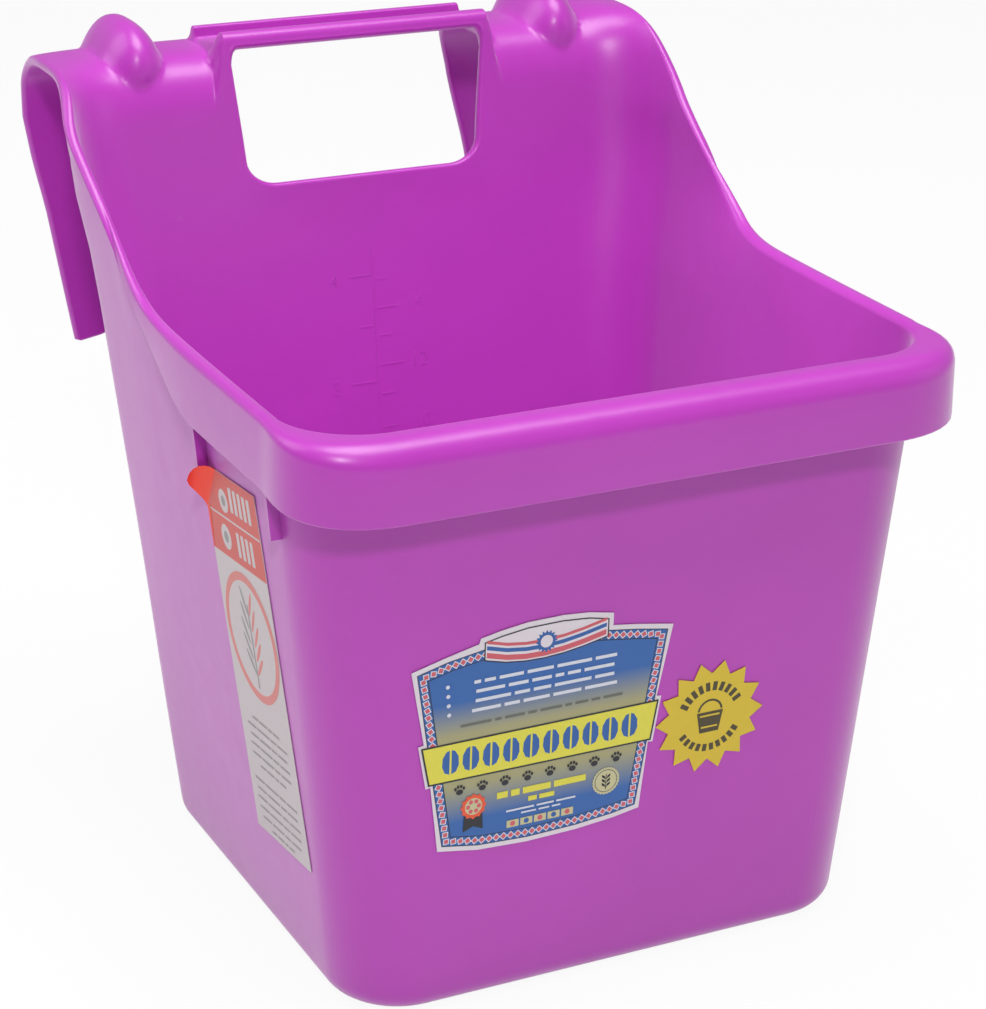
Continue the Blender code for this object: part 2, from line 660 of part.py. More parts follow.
    def rim_band(self, k):
        """The points over the rim at a station: the rolled lip, turning into the hook's edge."""
        place, out, up = self.rim_frame(k)
        band = [place + out * o + up * h for o, h in self.lip_section(k)]
        if self.stations[k][0] != "side":
            return band
        inner = place - out * WALL - up * HOOK_EDGE_BULGE
        plain = round_edge(inner, inner + out * HOOK_WALL, up)
        fade = ease(SKIRT_FADE_END_Y, edge_depth(HOOK_START_HEIGHT), place[1])
        return [lerp(a, b, fade) for a, b in zip(band, plain)]

    def set_column(self, grid, k, end, inset, floor, radius):
        """One station's column of wall points, from the floor to its end at the top."""
        station = self.stations[k]
        for j in range(FILLET_SPAN_COUNT + 1):
            turn = pi / 2 * j / FILLET_SPAN_COUNT
            z = floor + radius * (1 - cos(turn))
            grid[k, j] = plan(station, z, inset + radius * (1 - sin(turn)))[0]
        for i in range(1, WALL_SPAN_COUNT):
            z = lerp(floor + radius, end[2], i / WALL_SPAN_COUNT)
            grid[k, FILLET_SPAN_COUNT + i] = plan(station, z, inset)[0]
        grid[k, self.floor_rows] = end

    def sill_height(self, station):
        """Height of the window's lower edge, with its rounded corner."""
        run = back_run(HOOK_START_HEIGHT)
        window = window_half_width(HOOK_START_HEIGHT)
        past = station[1] * run - (window - WINDOW_LOWER_ROUND)
        rise = HOOK_START_HEIGHT - WINDOW_SILL_HEIGHT
        if past <= 0:
            return WINDOW_SILL_HEIGHT
        share = min(1, past / WINDOW_LOWER_ROUND)
        return WINDOW_SILL_HEIGHT + rise * (1 - sqrt(1 - share * share))

    def set_hooks(self):
        """The hooks' rows, with the post and the handle blended in beside the window."""
        for h, row in enumerate(self.rows):
            j = self.floor_rows + 1 + h
            kind, value = row
            for k in range(self.outer, self.inner + 1):
                a = self.place_on_wall(k, row)
                point = plain_skin(a, row)
                into = skin_normal(a, row)
                under = point + into * HOOK_WALL
                if kind == "arch":
                    reach = (CROWN_HEIGHT - ARCH_CENTRE_HEIGHT) * (value - pi / 2)
                    rise = bump(point[0], reach)
                    point = point - into * rise
                    under = under - into * rise * DOME_HOLLOW_SHARE
                if kind != "leg" and h <= self.rib:
                    point, under = self.add_post(h, row, point, under)
                self.top[k, j] = point
                self.under[k, j] = under

    def add_post(self, h, row, point, under):
        """Blend a hook point towards the straight post and the handle's section."""
        x = point[0]
        edge, soft = gusset_edge(self.row_height(row))
        if self.bar < h <= self.bar + BAR_POINT_COUNT:
            soft = BAR_END_EASE
        weight = 1 - ease(edge - soft, edge + soft, x)
        y, z = self.handle_top(h, row)
        point = lerp(point, np.array((x, y, z)), weight)
        y, z = self.handle_under(h)
        weight = 1 - ease(POST_HALF_WIDTH, POST_HALF_WIDTH + UNDER_EASE, x)
        under = lerp(under, np.array((under[0], y, z)), weight)
        return point, under

    def handle_top(self, h, row):
        """Section of the post and handle's top skin on a row, as (y, z)."""
        kind, value = row
        if h > self.bar:
            return HANDLE[h - self.bar - 1]
        z = value
        if kind == "arch":
            end = BAR_BOTTOM_HEIGHT - WINDOW_UPPER_ROUND
            z = lerp(ARCH_CENTRE_HEIGHT, end, self.bar_share(row))
        return wall_face(z), z

    def handle_under(self, h):
        """Section of the post and web's under skin on a row, as (y, z)."""
        tops = [np.array(self.handle_top(i, self.rows[i])) for i in range(self.rib + 1)]
        share = path_shares(tops)[h]
        start = self.rows[0][1] if self.rows[0][0] == "rise" else ARCH_CENTRE_HEIGHT
        front = wall_face(start) + HOOK_WALL
        under = BAR_TOP_HEIGHT - WEB_UNDER_DROP
        knee = wall_face(under) + HOOK_WALL
        corners = [(front, start), (knee, under), (RIB_FRONT_Y + RIB_DEPTH, under)]
        curve = rounded(corners, [UNDER_CORNER_ROUND], [UNDER_CORNER_SPAN_COUNT])
        path = [np.array(corners[0])] + curve + [np.array(corners[-1])]
        return along(path, share)

    def set_window_bar(self):
        """The bar, trough and rib across the window."""
        shares = path_shares(HANDLE)
        for k in range(self.inner + 1, self.last + 1):
            for h in range(self.bar, self.rib + 1):
                j = self.floor_rows + 1 + h
                edge = self.top[self.inner, j][0]
                window = window_half_width(HOOK_START_HEIGHT) / back_run(HOOK_START_HEIGHT)
                x = edge * self.stations[k][1] / window
                past = x - (edge - WINDOW_UPPER_ROUND)
                past = min(WINDOW_UPPER_ROUND, max(0, past))
                fall = WINDOW_UPPER_ROUND - sqrt(WINDOW_UPPER_ROUND**2 - past * past)
                if h == self.bar:
                    z = BAR_BOTTOM_HEIGHT - fall
                    self.top[k, j] = np.array((x, wall_face(z), z))
                    share = 0
                else:
                    self.top[k, j] = np.array((x, *HANDLE[h - self.bar - 1]))
                    share = shares[h - self.bar - 1]
                front = wall_face(BAR_BOTTOM_HEIGHT) + HOOK_WALL
                y = lerp(front, RIB_FRONT_Y + RIB_DEPTH, share)
                z = BAR_TOP_HEIGHT - lerp(WEB_UNDER_FRONT_DROP, WEB_UNDER_DROP, share)
                weight = fall / WINDOW_UPPER_ROUND
                side = self.under[self.inner, j]
                self.under[k, j] = lerp(np.array((x, y, z)), np.array((x, side[1], side[2])), weight)

    def set_bands(self):
        """The two edge loops of the half skin, each with its rounded band."""
        base = self.floor_rows
        end = base + len(self.rows)
        bar = base + 1 + self.bar
        rib = base + 1 + self.rib
        rim = [(k, base) for k in range(self.outer + 1)]
        rim += [(self.outer, j) for j in range(base + 1, end)]
        rim += [(k, end) for k in range(self.outer, self.inner + 1)]
        rim += [(self.inner, j) for j in range(end - 1, rib - 1, -1)]
        rim += [(k, rib) for k in range(self.inner + 1, self.last + 1)]
        window = [(k, bar) for k in range(self.last, self.inner, -1)]
        window += [(self.inner, j) for j in range(bar, base - 1, -1)]
        window += [(k, base) for k in range(self.inner + 1, self.last + 1)]
        self.bands = [(keys, self.band(keys)) for keys in (rim, window)]

    def band(self, keys):
        """The points between the two skins along an edge, one list for each key."""
        bands = []
        for i, key in enumerate(keys):
            before = self.top[keys[max(i - 1, 0)]]
            after = self.top[keys[min(i + 1, len(keys) - 1)]]
            along_edge = unit(after - before)
            if i in (0, len(keys) - 1):
                along_edge = np.array((np.sign(along_edge[0]), 0.0, 0.0))
            if key[0] < self.outer and key[1] == self.floor_rows:
                bands.append(self.edges[key[0]][1:-1])
                continue
            start = self.top[key]
            end = self.under[key]
            out = unit(np.cross(end - start, along_edge))
            bands.append(round_edge(start, end, out)[1:-1])
        return bands

    def build(self, name):
        """The whole moulding as a mesh: the half skin, its mirror image and the join."""
        bm = bmesh.new()
        verts = {}
        for side, grid in (("top", self.top), ("under", self.under)):
            for key, place in grid.items():
                verts[side, key] = bm.verts.new(place)
        for side in ("top", "under"):
            grid = self.top if side == "top" else self.under
            for (k, j) in grid:
                ring = [(k, j), (k, j + 1), (k + 1, j + 1), (k + 1, j)]
                if all(key in grid for key in ring):
                    order = ring if side == "top" else ring[::-1]
                    bm.faces.new([verts[side, key] for key in order])
            floor = [verts[side, (k, 0)] for k in range(self.last + 1)]
            bm.faces.new(floor if side == "top" else floor[::-1])
        for keys, band in self.bands:
            strips = []
            for key, points in zip(keys, band):
                middle = [bm.verts.new(p) for p in points]
                strips.append([verts["top", key]] + middle + [verts["under", key]])
            for a, b in zip(strips, strips[1:]):
                for i in range(len(a) - 1):
                    bm.faces.new((a[i], a[i + 1], b[i + 1], b[i]))
        for vert in bm.verts:
            if abs(vert.co.x) < TINY:
                vert.co.x = 0
        everything = bm.verts[:] + bm.edges[:] + bm.faces[:]
        bmesh.ops.mirror(bm, geom=everything, axis="X", merge_dist=TINY)
        bmesh.ops.remove_doubles(bm, verts=bm.verts, dist=TINY)
        bmesh.ops.recalc_face_normals(bm, faces=bm.faces)
        return finish_mesh(bm, name)


def along(path, share):
    """The point at a share of a path's length."""
    shares = path_shares(path)
    for i in range(1, len(shares)):
        if share <= shares[i] or i == len(shares) - 1:
            t = (share - shares[i - 1]) / (shares[i] - shares[i - 1])
            return lerp(np.array(path[i - 1]), np.array(path[i]), min(1, max(0, t)))


def make_material(name, rgb, roughness):
    material = bpy.data.materials.new(name)
    material.use_nodes = True
    shader = material.node_tree.nodes["Principled BSDF"]
    shader.inputs["Base Color"].default_value = (*rgb, 1)
    shader.inputs["Roughness"].default_value = roughness
    shader.inputs["Metallic"].default_value = 0
    return material


def add_object(name, mesh, material):
    item = bpy.data.objects.new(name, mesh)
    item.data.materials.append(material)
    bpy.context.scene.collection.objects.link(item)
    return item


def prism(bm, lower, upper):
    """A closed solid between two outlines of as many points, wound against the way up."""
    below = [bm.verts.new(p) for p in lower]
    above = [bm.verts.new(p) for p in upper]
    bm.faces.new(below)
    bm.faces.new(above[::-1])
    for i in range(len(below)):
        j = (i + 1) % len(below)
        bm.faces.new((below[j], below[i], above[i], above[j]))
    bmesh.ops.recalc_face_normals(bm, faces=bm.faces)


def finish_mesh(bm, name):
    mesh = bpy.data.meshes.new(name)
    bm.to_mesh(mesh)
    bm.free()
    return mesh


def fins_mesh():
    """The four fins that carry the side skirts, each sunk into the wall and the skirt."""
    bm = bmesh.new()
    for side in (-1, 1):
        for y in (FIN_FRONT_Y, FIN_BACK_Y):
            outline = []
            for z in (FIN_BOTTOM_HEIGHT, FIN_TOP_HEIGHT):
                wall = tub_half_width(z)
                outline += [(wall - FIN_SINK, z), (wall + FIN_REACH, z)]
            outline = [outline[0], outline[1], outline[3], outline[2]]
            ends = [[(side * x, y + v, z) for x, z in outline] for v in (-FIN_HALF, FIN_HALF)]
            prism(bm, *ends)
    return finish_mesh(bm, "fins")


def sticker_mesh(name, outline, place, across, up, out):
    """A thin sticker over an outline on a wall, just clear of it."""
    bm = bmesh.new()
    layers = []
    for lift in (STICKER_GAP, STICKER_GAP + STICKER_THICKNESS):
        layers.append([place + across * u + up * v + out * lift for u, v in outline])
    prism(bm, *layers)
    return finish_mesh(bm, name)


def front_label_mesh():
    up = unit(np.array((0.0, -FRONT_LEAN, 1.0)))
    out = unit(np.array((0.0, -1.0, -FRONT_LEAN)))
    place = np.array((FRONT_LABEL_X, tub_front(FRONT_LABEL_HEIGHT), FRONT_LABEL_HEIGHT))
    half = (FRONT_LABEL_HALF_WIDTH, FRONT_LABEL_HALF_HEIGHT)
    outline = [(u * half[0], v * half[1]) for u, v in FRONT_LABEL_SHARES]
    return sticker_mesh("front_label", outline, place, np.array((1.0, 0.0, 0.0)), up, out)


def burst_label_mesh():
    up = unit(np.array((0.0, -FRONT_LEAN, 1.0)))
    out = unit(np.array((0.0, -1.0, -FRONT_LEAN)))
    place = np.array((BURST_X, tub_front(BURST_HEIGHT), BURST_HEIGHT))
    outline = []
    for i in range(2 * BURST_POINT_COUNT):
        turn = pi * i / BURST_POINT_COUNT
        r = BURST_RADIUS * (1 if i % 2 == 0 else BURST_INNER_SHARE)
        outline.append((r * cos(turn), r * sin(turn)))
    return sticker_mesh("burst_label", outline, place, np.array((1.0, 0.0, 0.0)), up, out)


def side_label_mesh():
    """The tall sticker on the left wall, notched to clear the fin above it."""
    wall_up = unit(np.array((-SIDE_LEAN, 0.0, 1.0)))
    out = unit(np.array((-1.0, 0.0, -SIDE_LEAN)))
    back = np.array((0.0, 1.0, 0.0))
    tilt = radians(SIDE_LABEL_TILT_DEGREES)
    up = wall_up * cos(tilt) + back * sin(tilt)
    across = back * cos(tilt) - wall_up * sin(tilt)
    place = np.array((-tub_half_width(SIDE_LABEL_HEIGHT), SIDE_LABEL_Y, SIDE_LABEL_HEIGHT))
    half = (SIDE_LABEL_HALF_WIDTH, SIDE_LABEL_HALF_HEIGHT)
    outline = [(u * half[0], v * half[1]) for u, v in SIDE_LABEL_SHARES]
    return sticker_mesh("side_label", outline, place, across, up, out)


HANDLE = handle_outline()


def main():
    for item in list(bpy.data.objects):
        bpy.data.objects.remove(item, do_unlink=True)
    purple = make_material("purple_polyethylene", PURPLE, PLASTIC_ROUGHNESS)
    body = add_object("feeder_body", Moulding().build("feeder_body"), purple)
    fins = add_object("fins", fins_mesh(), purple)
    fins.hide_render = True
    fins.display_type = "WIRE"
    join = body.modifiers.new("fins", "BOOLEAN")
    join.operation = "UNION"
    join.solver = "EXACT"
    join.object = fins
    body.data.shade_smooth()
    body.data.set_sharp_from_angle(angle=radians(SHARP_DEGREES))
    blue = make_material("front_label_film", LABEL_BLUE, LABEL_ROUGHNESS)
    yellow = make_material("burst_label_film", BURST_YELLOW, LABEL_ROUGHNESS)
    paper = make_material("side_label_paper", PAPER_GREY, PAPER_ROUGHNESS)
    add_object("front_label", front_label_mesh(), blue)
    add_object("burst_label", burst_label_mesh(), yellow)
    add_object("side_label", side_label_mesh(), paper)


main()
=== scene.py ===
"""Hook-over feeder: the moulded tub with its hooks, its volume marks, its stickers and a studio."""

from math import asin, atan2, cos, pi, radians, sin, sqrt, tan
from types import SimpleNamespace

import bmesh
import bpy
import numpy as np
from bpy.props import FloatProperty, FloatVectorProperty, PointerProperty
from mathutils import Matrix, Vector


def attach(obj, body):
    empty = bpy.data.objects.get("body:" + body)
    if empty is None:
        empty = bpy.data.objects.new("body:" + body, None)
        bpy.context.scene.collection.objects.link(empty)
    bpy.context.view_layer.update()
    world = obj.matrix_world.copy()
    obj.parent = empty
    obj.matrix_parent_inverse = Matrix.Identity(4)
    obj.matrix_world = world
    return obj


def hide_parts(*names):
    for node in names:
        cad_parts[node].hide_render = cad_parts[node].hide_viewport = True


bl_info = {
    "name": "Hook-over feeder",
    "version": (1, 0, 0),
    "blender": (4, 5, 0),
    "location": "3D View > Sidebar > Feeder",
    "description": "Builds a hook-over feeder round its CAD frame, and the studio it stands in",
    "category": "Object",
}

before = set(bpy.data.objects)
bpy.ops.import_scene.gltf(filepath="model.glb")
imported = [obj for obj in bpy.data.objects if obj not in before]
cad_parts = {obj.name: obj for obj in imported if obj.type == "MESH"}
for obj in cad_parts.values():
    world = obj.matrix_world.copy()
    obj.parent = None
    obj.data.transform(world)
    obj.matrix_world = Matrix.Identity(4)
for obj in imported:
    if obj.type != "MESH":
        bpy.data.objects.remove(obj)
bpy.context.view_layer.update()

# Rims, lip and skirt: lengths in metres, shares of one
CLIMB_EASE = 0.016
CLIMB_SHARE = 0.82
LIP_CLIMB_REACH = 0.0016
LIP_CORNER_REACH = 0.0062
SKIRT_CLIMB_DROP = 0.0065
SKIRT_WALL = 0.0038
SKIRT_DRAFT_SHARE = 0.012
SKIRT_FADE_START_Y = -0.014
SKIRT_FADE_END_Y = 0.062
NOTCH_FRONT_DROP = 0.0055
NOTCH_SIDE_DROP = 0.0120
NOTCH_CLIMB_DROP = 0.0080
LIP_INNER_ROUND = 0.0036
LIP_FRONT_ROUND = 0.0110
LIP_SIDE_ROUND = 0.0030
LIP_CLIMB_ROUND = 0.0016
SKIRT_EDGE_ROUND = 0.0012
NOTCH_ROUND = 0.0005
BARE_ROUND = 0.0002
LIP_ROOT_SHARE = 2
BARE_CORNER_SHARES = (1 / 3, 2 / 3)

# Hooks and their domes
LEG_TOP_OUTER_HALF = 0.1424
LEG_TOP_INNER_HALF = 0.0800
FOOT_TILT_SHARE = 0.17
FOOT_CORNER_ROUND = 0.0120
HOOK_EDGE_BULGE = 0.0018
ARCH_FRONT_SQUARENESS = 3.4
ARCH_BACK_SQUARENESS = 2.5
DOME_SOFT_SHARE = 0.08
DOME_HOLLOW_SHARE = 0.8

# Hand window with its bar, trough, rear rib and gussets
WINDOW_FLARE_SHARE = 0.08
WINDOW_UPPER_ROUND = 0.0050
BAR_FRONT_ROUND = 0.0044
BAR_BACK_ROUND = 0.0016
TROUGH_FRONT_DROP = 0.0050
TROUGH_BACK_DROP = 0.0092
TROUGH_ROUND = 0.0014
RIB_DEPTH = 0.0040
RIB_TOP_DROP = 0.0034
RIB_ROUND = 0.0012
RIB_FOOT_DROP = 0.0122
GUSSET_EASE = 0.0010
BAR_END_EASE = 0.0030
GUSSET_LEAN_SHARE = 0.15
GUSSET_SOFT_SHARE = 0.3
UNDER_EASE = 0.0120
UNDER_CORNER_ROUND = 0.0060
WEB_UNDER_FRONT_DROP = 0.0076
WEB_UNDER_DROP = 0.0128

# Fins under the side skirts
FIN_FRONT_Y = -0.0900
FIN_BACK_Y = -0.0100
FIN_HALF = 0.0015
FIN_BOTTOM_HEIGHT = 0.2160
FIN_TOP_HEIGHT = 0.2450
FIN_SINK = 0.0032
FIN_REACH = 0.0048

# How finely the moulding's mesh is divided, and at which angles over the arch
FRONT_SPANS = 4
FRONT_CORNER_SPANS = 16
SIDE_SPANS = 14
CLIMB_SPANS = 16
HOOK_CORNER_SPANS = 16
FLAT_SPANS = 26
WINDOW_FLAT_SPANS = 6
WINDOW_CORNER_SPANS = 9
FILLET_SPANS = 8
WALL_SPANS = 12
RISE_SPANS = 4
ARCH_FRONT_DEGREES = (0, 0.3, 0.8, 1.6, 2.8, 4.5, 7, 10, 13.5, 17, 21, 25, 29, 33, 37, 41.5, 46)
ARCH_BACK_DEGREES = (107, 111, 115, 119, 123, 127, 131, 136, 141, 146, 152, 158, 164, 170, 175, 178.5, 180)
BAR_START_DEGREES = 50
RIB_END_DEGREES = 104
LEG_SPANS = 12
HANDLE_SPANS = (8, 8, 4, 4, 4, 4)
BAR_CORNERS = 3
BAR_POINTS = sum(HANDLE_SPANS[:BAR_CORNERS]) + BAR_CORNERS
TROUGH_SPANS = 9
POST_SHARES = (-1, -0.75, -0.5, -0.25, 0, 0.25, 0.5, 0.75, 1, 1.6, 3)
LIP_SPANS = (5, 10, 5, 5, 3, 3)
EDGE_POINTS = 35
CLIMB_SPLIT_SHARE = 0.62
OUTER_SPANS = 2
UNDER_CORNER_SPANS = 12

# Small steps and limits for working the shape out
SETTLE_TURNS = 4
TINY = 1e-6
PROBE = 1e-4
PROBE_ANGLE = 0.004
PROBE_END = 0.001
SHARP_DEGREES = 40

# Camera, worked out from the photograph's edges: its place, then its yaw, pitch and roll
CAMERA_PLACE = (-0.53637, -1.06476, 0.64928)
CAMERA_DEGREES = (26.336, -21.897, 0.756)
FOCAL_PIXELS = 2870.13
CENTRE_PIXELS = (484.48, 512.25)
FRAME_PIXELS = (986, 1009)
SENSOR = 36.0

# Studio: each lamp's name, place, aim, size in metres and power in watts
FLOOR_HALF_SIZE = 6.0
FLOOR_GAP = 0.0002
LAMPS = (
    ("top", (0.15, -0.2, 2.4), (0, 0, 0.2), (1.4, 1.4), 46),
    ("flash", (-0.58, -1.06, 1.20), (0, 0, 0.15), (0.15, 0.15), 7.4),
    ("key", (2.0, -1.3, 1.0), (0, 0, 0.2), (1.3, 1.3), 3),
    ("back", (-1.3, 0.8, 1.5), (0, 0, 0.2), (1.2, 1.2), 10.5),
    ("fill", (0.0, -0.08, 0.30), (0.0, 0.16, 0.16), (0.16, 0.12), 0.12),
)
FLOOR_WHITE_SHARE = 0.93
HIDDEN_LAMP = "fill"

# Finish of the plastic and of the inks: their patterns' sizes in metres
CLOUD_SIZE = 0.09
SCUFF_SIZE = 0.012
PEEL_SIZE = 0.0016
WAVE_SIZE = 0.020
MOTTLE_SIZE = 0.003
MOTTLE_SHARE = 0.93
SKY_SHARES = (0.14, 0.34, 0.62, 0.80)
SKY_ROUGHNESS = 0.4

# How far the warmed plastic has set out of true, in millimetres, and where each shift grows or fades
LEFT_HOOK_SET = 2.5
LEFT_HOOK_GROWS_X = (75, 100)
LEFT_HOOK_GROWS_Z = (328, 349)
LEFT_WALL_SET = 1.5
LEFT_WALL_GROWS_X = (60, 110)
LEFT_WALL_GROWS_Y = (60, 120)
LEFT_WALL_GROWS_Z = (10, 150)
LEFT_WALL_FADES_Z = (262, 296)
RIGHT_RIM_SET = 3.0
RIGHT_RIM_GROWS_X = (75, 100)
RIGHT_RIM_GROWS_Z = (250, 280)
RIGHT_RIM_FADES_Z = (284, 318)
RIGHT_RIM_GROWS_Y = (20, 56)
SHOULDER_SET = 4.5
SHOULDER_GROWS_X = (112, 142)
SHOULDER_GROWS_Z = (318, 346)

# Where the rims are evened out, in metres, and how many times
RIM_END_X = 0.142
RIM_END_Y = (0.055, 0.105)
RIM_END_Z = (0.274, 0.310)
RIM_END_PASSES = 8

# Stickers on their walls, in metres
MM = 0.001
STICKER_THICKNESS = 0.0003
STICKER_GAP = 0.0003
INK_LIFT = 0.000012
FRONT_LABEL_PLACE = (-0.0420, 0.1250)
BURST_PLACE = (0.0387, 0.1148)
SIDE_LABEL_PLACE = (-0.0430, 0.1385)
SIDE_LABEL_TILT_DEGREES = 5.9

# Front label's drawing, in millimetres from its middle
FRONT_FILM = (
    (-46.4, -47.1), (-28, -50.4), (-5, -51.6), (18, -51.0), (36, -49.3), (48.2, -47.2), (51.0, -16.2),
    (53.2, -16.4), (56.2, 4.6), (54.0, 5.0), (60.0, 37.5), (43, 40.6), (31.4, 42.2), (31.4, 47.9),
    (20, 50.2), (8, 51.2), (-8, 51.0), (-20, 49.4), (-29.2, 47.6), (-29.9, 45.2), (-44, 42.0),
    (-59.8, 37.9), (-53.6, 4.0), (-56.1, 3.6), (-52.4, -16.4), (-50.2, -16.2))
FRONT_FRAME = (
    (-46.4, -47.1), (-28, -50.4), (-5, -51.6), (18, -51.0), (36, -49.3), (48.2, -47.2), (60.0, 37.5),
    (43, 40.6), (24, 43.4), (0, 45.2), (-24, 45.2), (-44, 42.0), (-59.8, 37.9))
CREST_FOOT = ((-27.6, 37.2), (-18, 34.6), (-9, 33.4), (0, 33.2), (9, 33.8), (18, 35.2), (29.4, 37.6))
CREST_TOP = ((29.4, 45.9), (20, 48.0), (8, 49.0), (-8, 48.8), (-20, 47.2), (-27.6, 45.6))
CREST_SUN = (0.6, 40.9)
CREST_STRIPS = (("screen_ink_red", 1.2, 3.6), ("screen_ink_blue", 4.8, 6.6), ("screen_ink_red", 7.6, 9.0))
CREST_STRIP_SHARE = 0.96
FRAME_INSETS = (2.1, 2.5, 4.5, 6.4, 6.8)
BORDER_COUNT = 106
WHITE_LOZENGE = (3.7, 3.8)
RED_LOZENGE = (2.6, 2.7)
BAND = ((-55.0, 2.8), (-51.4, -15.4), (52.2, -15.4), (55.0, 3.3))
BEAN_HALF = ((0.45, -5.6), (2.6, -4.6), (3.8, -1.6), (3.6, 2.2), (2.0, 5.0), (0.45, 5.6))
BEAN_ROW = ((-41.5, -6.1), (41.5, -6.1))
BEAN_COUNT = 10
PAW_TOES = ((-1.9, 0.5), (-0.7, 1.5), (0.7, 1.5), (1.9, 0.5))
PAW_ROW = ((-37, -19.9), (36, -19.9))
PAW_COUNT = 8
TILE_PLACES = (-12, -5.6, 0.8, 7.2, 13.6)
TILE_Y = -41.2
SEAL_PLACE = (31.5, -30.5)
GRAIN = ((0.2, -3.0), (1.9, -1.9), (2.1, -0.6), (0.6, -1.4))
GRAIN_STEP = 1.9
ROSETTE_PLACE = (-30.5, -29.0)
RIBBON = ((-4.6, -11.4), (0, -9.4), (4.6, -11.4), (4.2, -4), (-4.2, -4))

# Its rows of plain bars: height on the label, height of a bar, gap, lengths of the bars
WHITE_ROWS = (
    (28.6, 1.5, 1.7, (3, 5, 11, 12, 16, 10)), (24.3, 1.5, 1.7, (13, 9, 9, 4, 6, 14)),
    (20.0, 1.5, 1.7, (16, 7, 8, 17, 9)), (15.7, 1.5, 1.7, (13, 7, 12, 13, 15)))
GREY_ROWS = ((9.6, 1.2, 1.6, (14, 3, 9, 4, 10, 3, 6, 4, 9)),)
YELLOW_ROWS = ((-26.6, 3.0, 1.5, (5, 4, 13, 15)), (-31.0, 2.2, 1.2, (4, 7)))
SMALL_ROWS = ((-34.9, 0.9, 1.2, (13, 8, 9)), (-37.0, 0.8, 1.2, (7, 5, 4)))
ROWS_MIDDLE = 1.0
DOTS_X = -43.6
DOTS_STEP = 0.3

# Burst's drawing, in millimetres: each row of dashes has a length, a radius and two ends in degrees
BURST_RADIUS = 26.2
BURST_INNER_SHARE = 0.78
BURST_POINTS = 14
DASH_ROWS = ((4.2, 14.4, 152, 28), (3.4, 14.8, 212, 328))
DASH_WIDTH = 2.1
DASH_COUNT = 10
DASH_ARC_POINTS = 24
PAIL = ((-6.4, 2.4), (-4.6, -7.4), (4.6, -7.4), (6.4, 2.4))
PAIL_HANDLE_LIFT = 2.2

# Side label's drawing, in millimetres from its middle
SIDE_HALF_WIDTH = 30.6
SIDE_HALF_HEIGHT = 84.0
FOLD = ((-14.0, 84.6), (-30.6, 64.0))
FLAP_EDGE = (
    (-14.0, 84.6), (-18, 86.0), (-23, 86.4), (-27.4, 84.6), (-30.4, 81.0), (-32.0, 76.0), (-32.0, 70.4),
    (-30.6, 64.0))
FLAP_LIFT = 8.6
FLAP_LIFT_POWER = 1.4
FLAP_CURL = 0.42
FLAP_CURL_POWER = 2
FLAP_SPANS = 14
HEADER_FOOT = 46.2
PAINTED_LIFT_HIGHLIGHT = ((0, HEADER_FOOT), (1.2, HEADER_FOOT), (3.4, 66.4), (0, 64.0))
HEADER_BARS = ((74.5, (0.5, 5.7, 10.9, 16.1, 21.3)), (55.3, (2.5, 7.7, 12.9, 18.1)))
HEADER_RINGS = ((-9, 72.0, 5.2, 2.4), (-12, 55.3, 5.6, 2.6))
DIVIDER = 64.4
RING = (1.0, 13.5, 29.0, 25.2)
RING_POINTS = 64
EAR_PATH = ((5.0, -12), (6.4, 0), (3.6, 16))
EAR_COUNT = 5
NOTE_SHARES = (0.22, 0.3, 0.14, 0.24)
NOTE_MIDDLE = 0.5
NOTES = (
    (-27.5, 30), (-32.1, 46), (-36.7, 42), (-41.3, 45), (-45.9, 44), (-50.5, 28),
    (-58.5, 49), (-63.1, 46), (-67.7, 50), (-72.3, 48), (-76.9, 44), (-81.0, 24))

# Volume marks on the back wall inside, in metres
MARK_RISE = 0.0002
MARK_WIDTH = 0.0007
MARK_LINE = (0.0005, 0.0600, 0.2550)
MARK_SPANS = 6
NUMBER_SIZE = 0.0098

# Their ticks (left, right, height) and numbers (text, left, height), in millimetres
TICKS = (
    (-11.0, -1.2, 240.5), (2.2, 6.9, 238.0), (2.2, 12.9, 224.2), (-7.4, -1.2, 215.8), (2.2, 8.0, 210.7),
    (2.2, 13.9, 196.3), (-13.3, -1.2, 188.5), (2.2, 8.4, 182.0), (2.2, 9.5, 165.6), (-8.0, -1.2, 160.0),
    (2.2, 13.0, 137.0), (-12.0, -1.2, 128.0), (2.2, 13.0, 108.0), (2.2, 13.0, 79.0))
NUMBERS = (
    ("4", -22, 236.6), ("14", 17, 222.2), ("12", 18, 193.6), ("3", -24, 184.4), ("10", 18, 163.6),
    ("8", 18, 135.0), ("2", -22, 125.0), ("6", 18, 106.0))

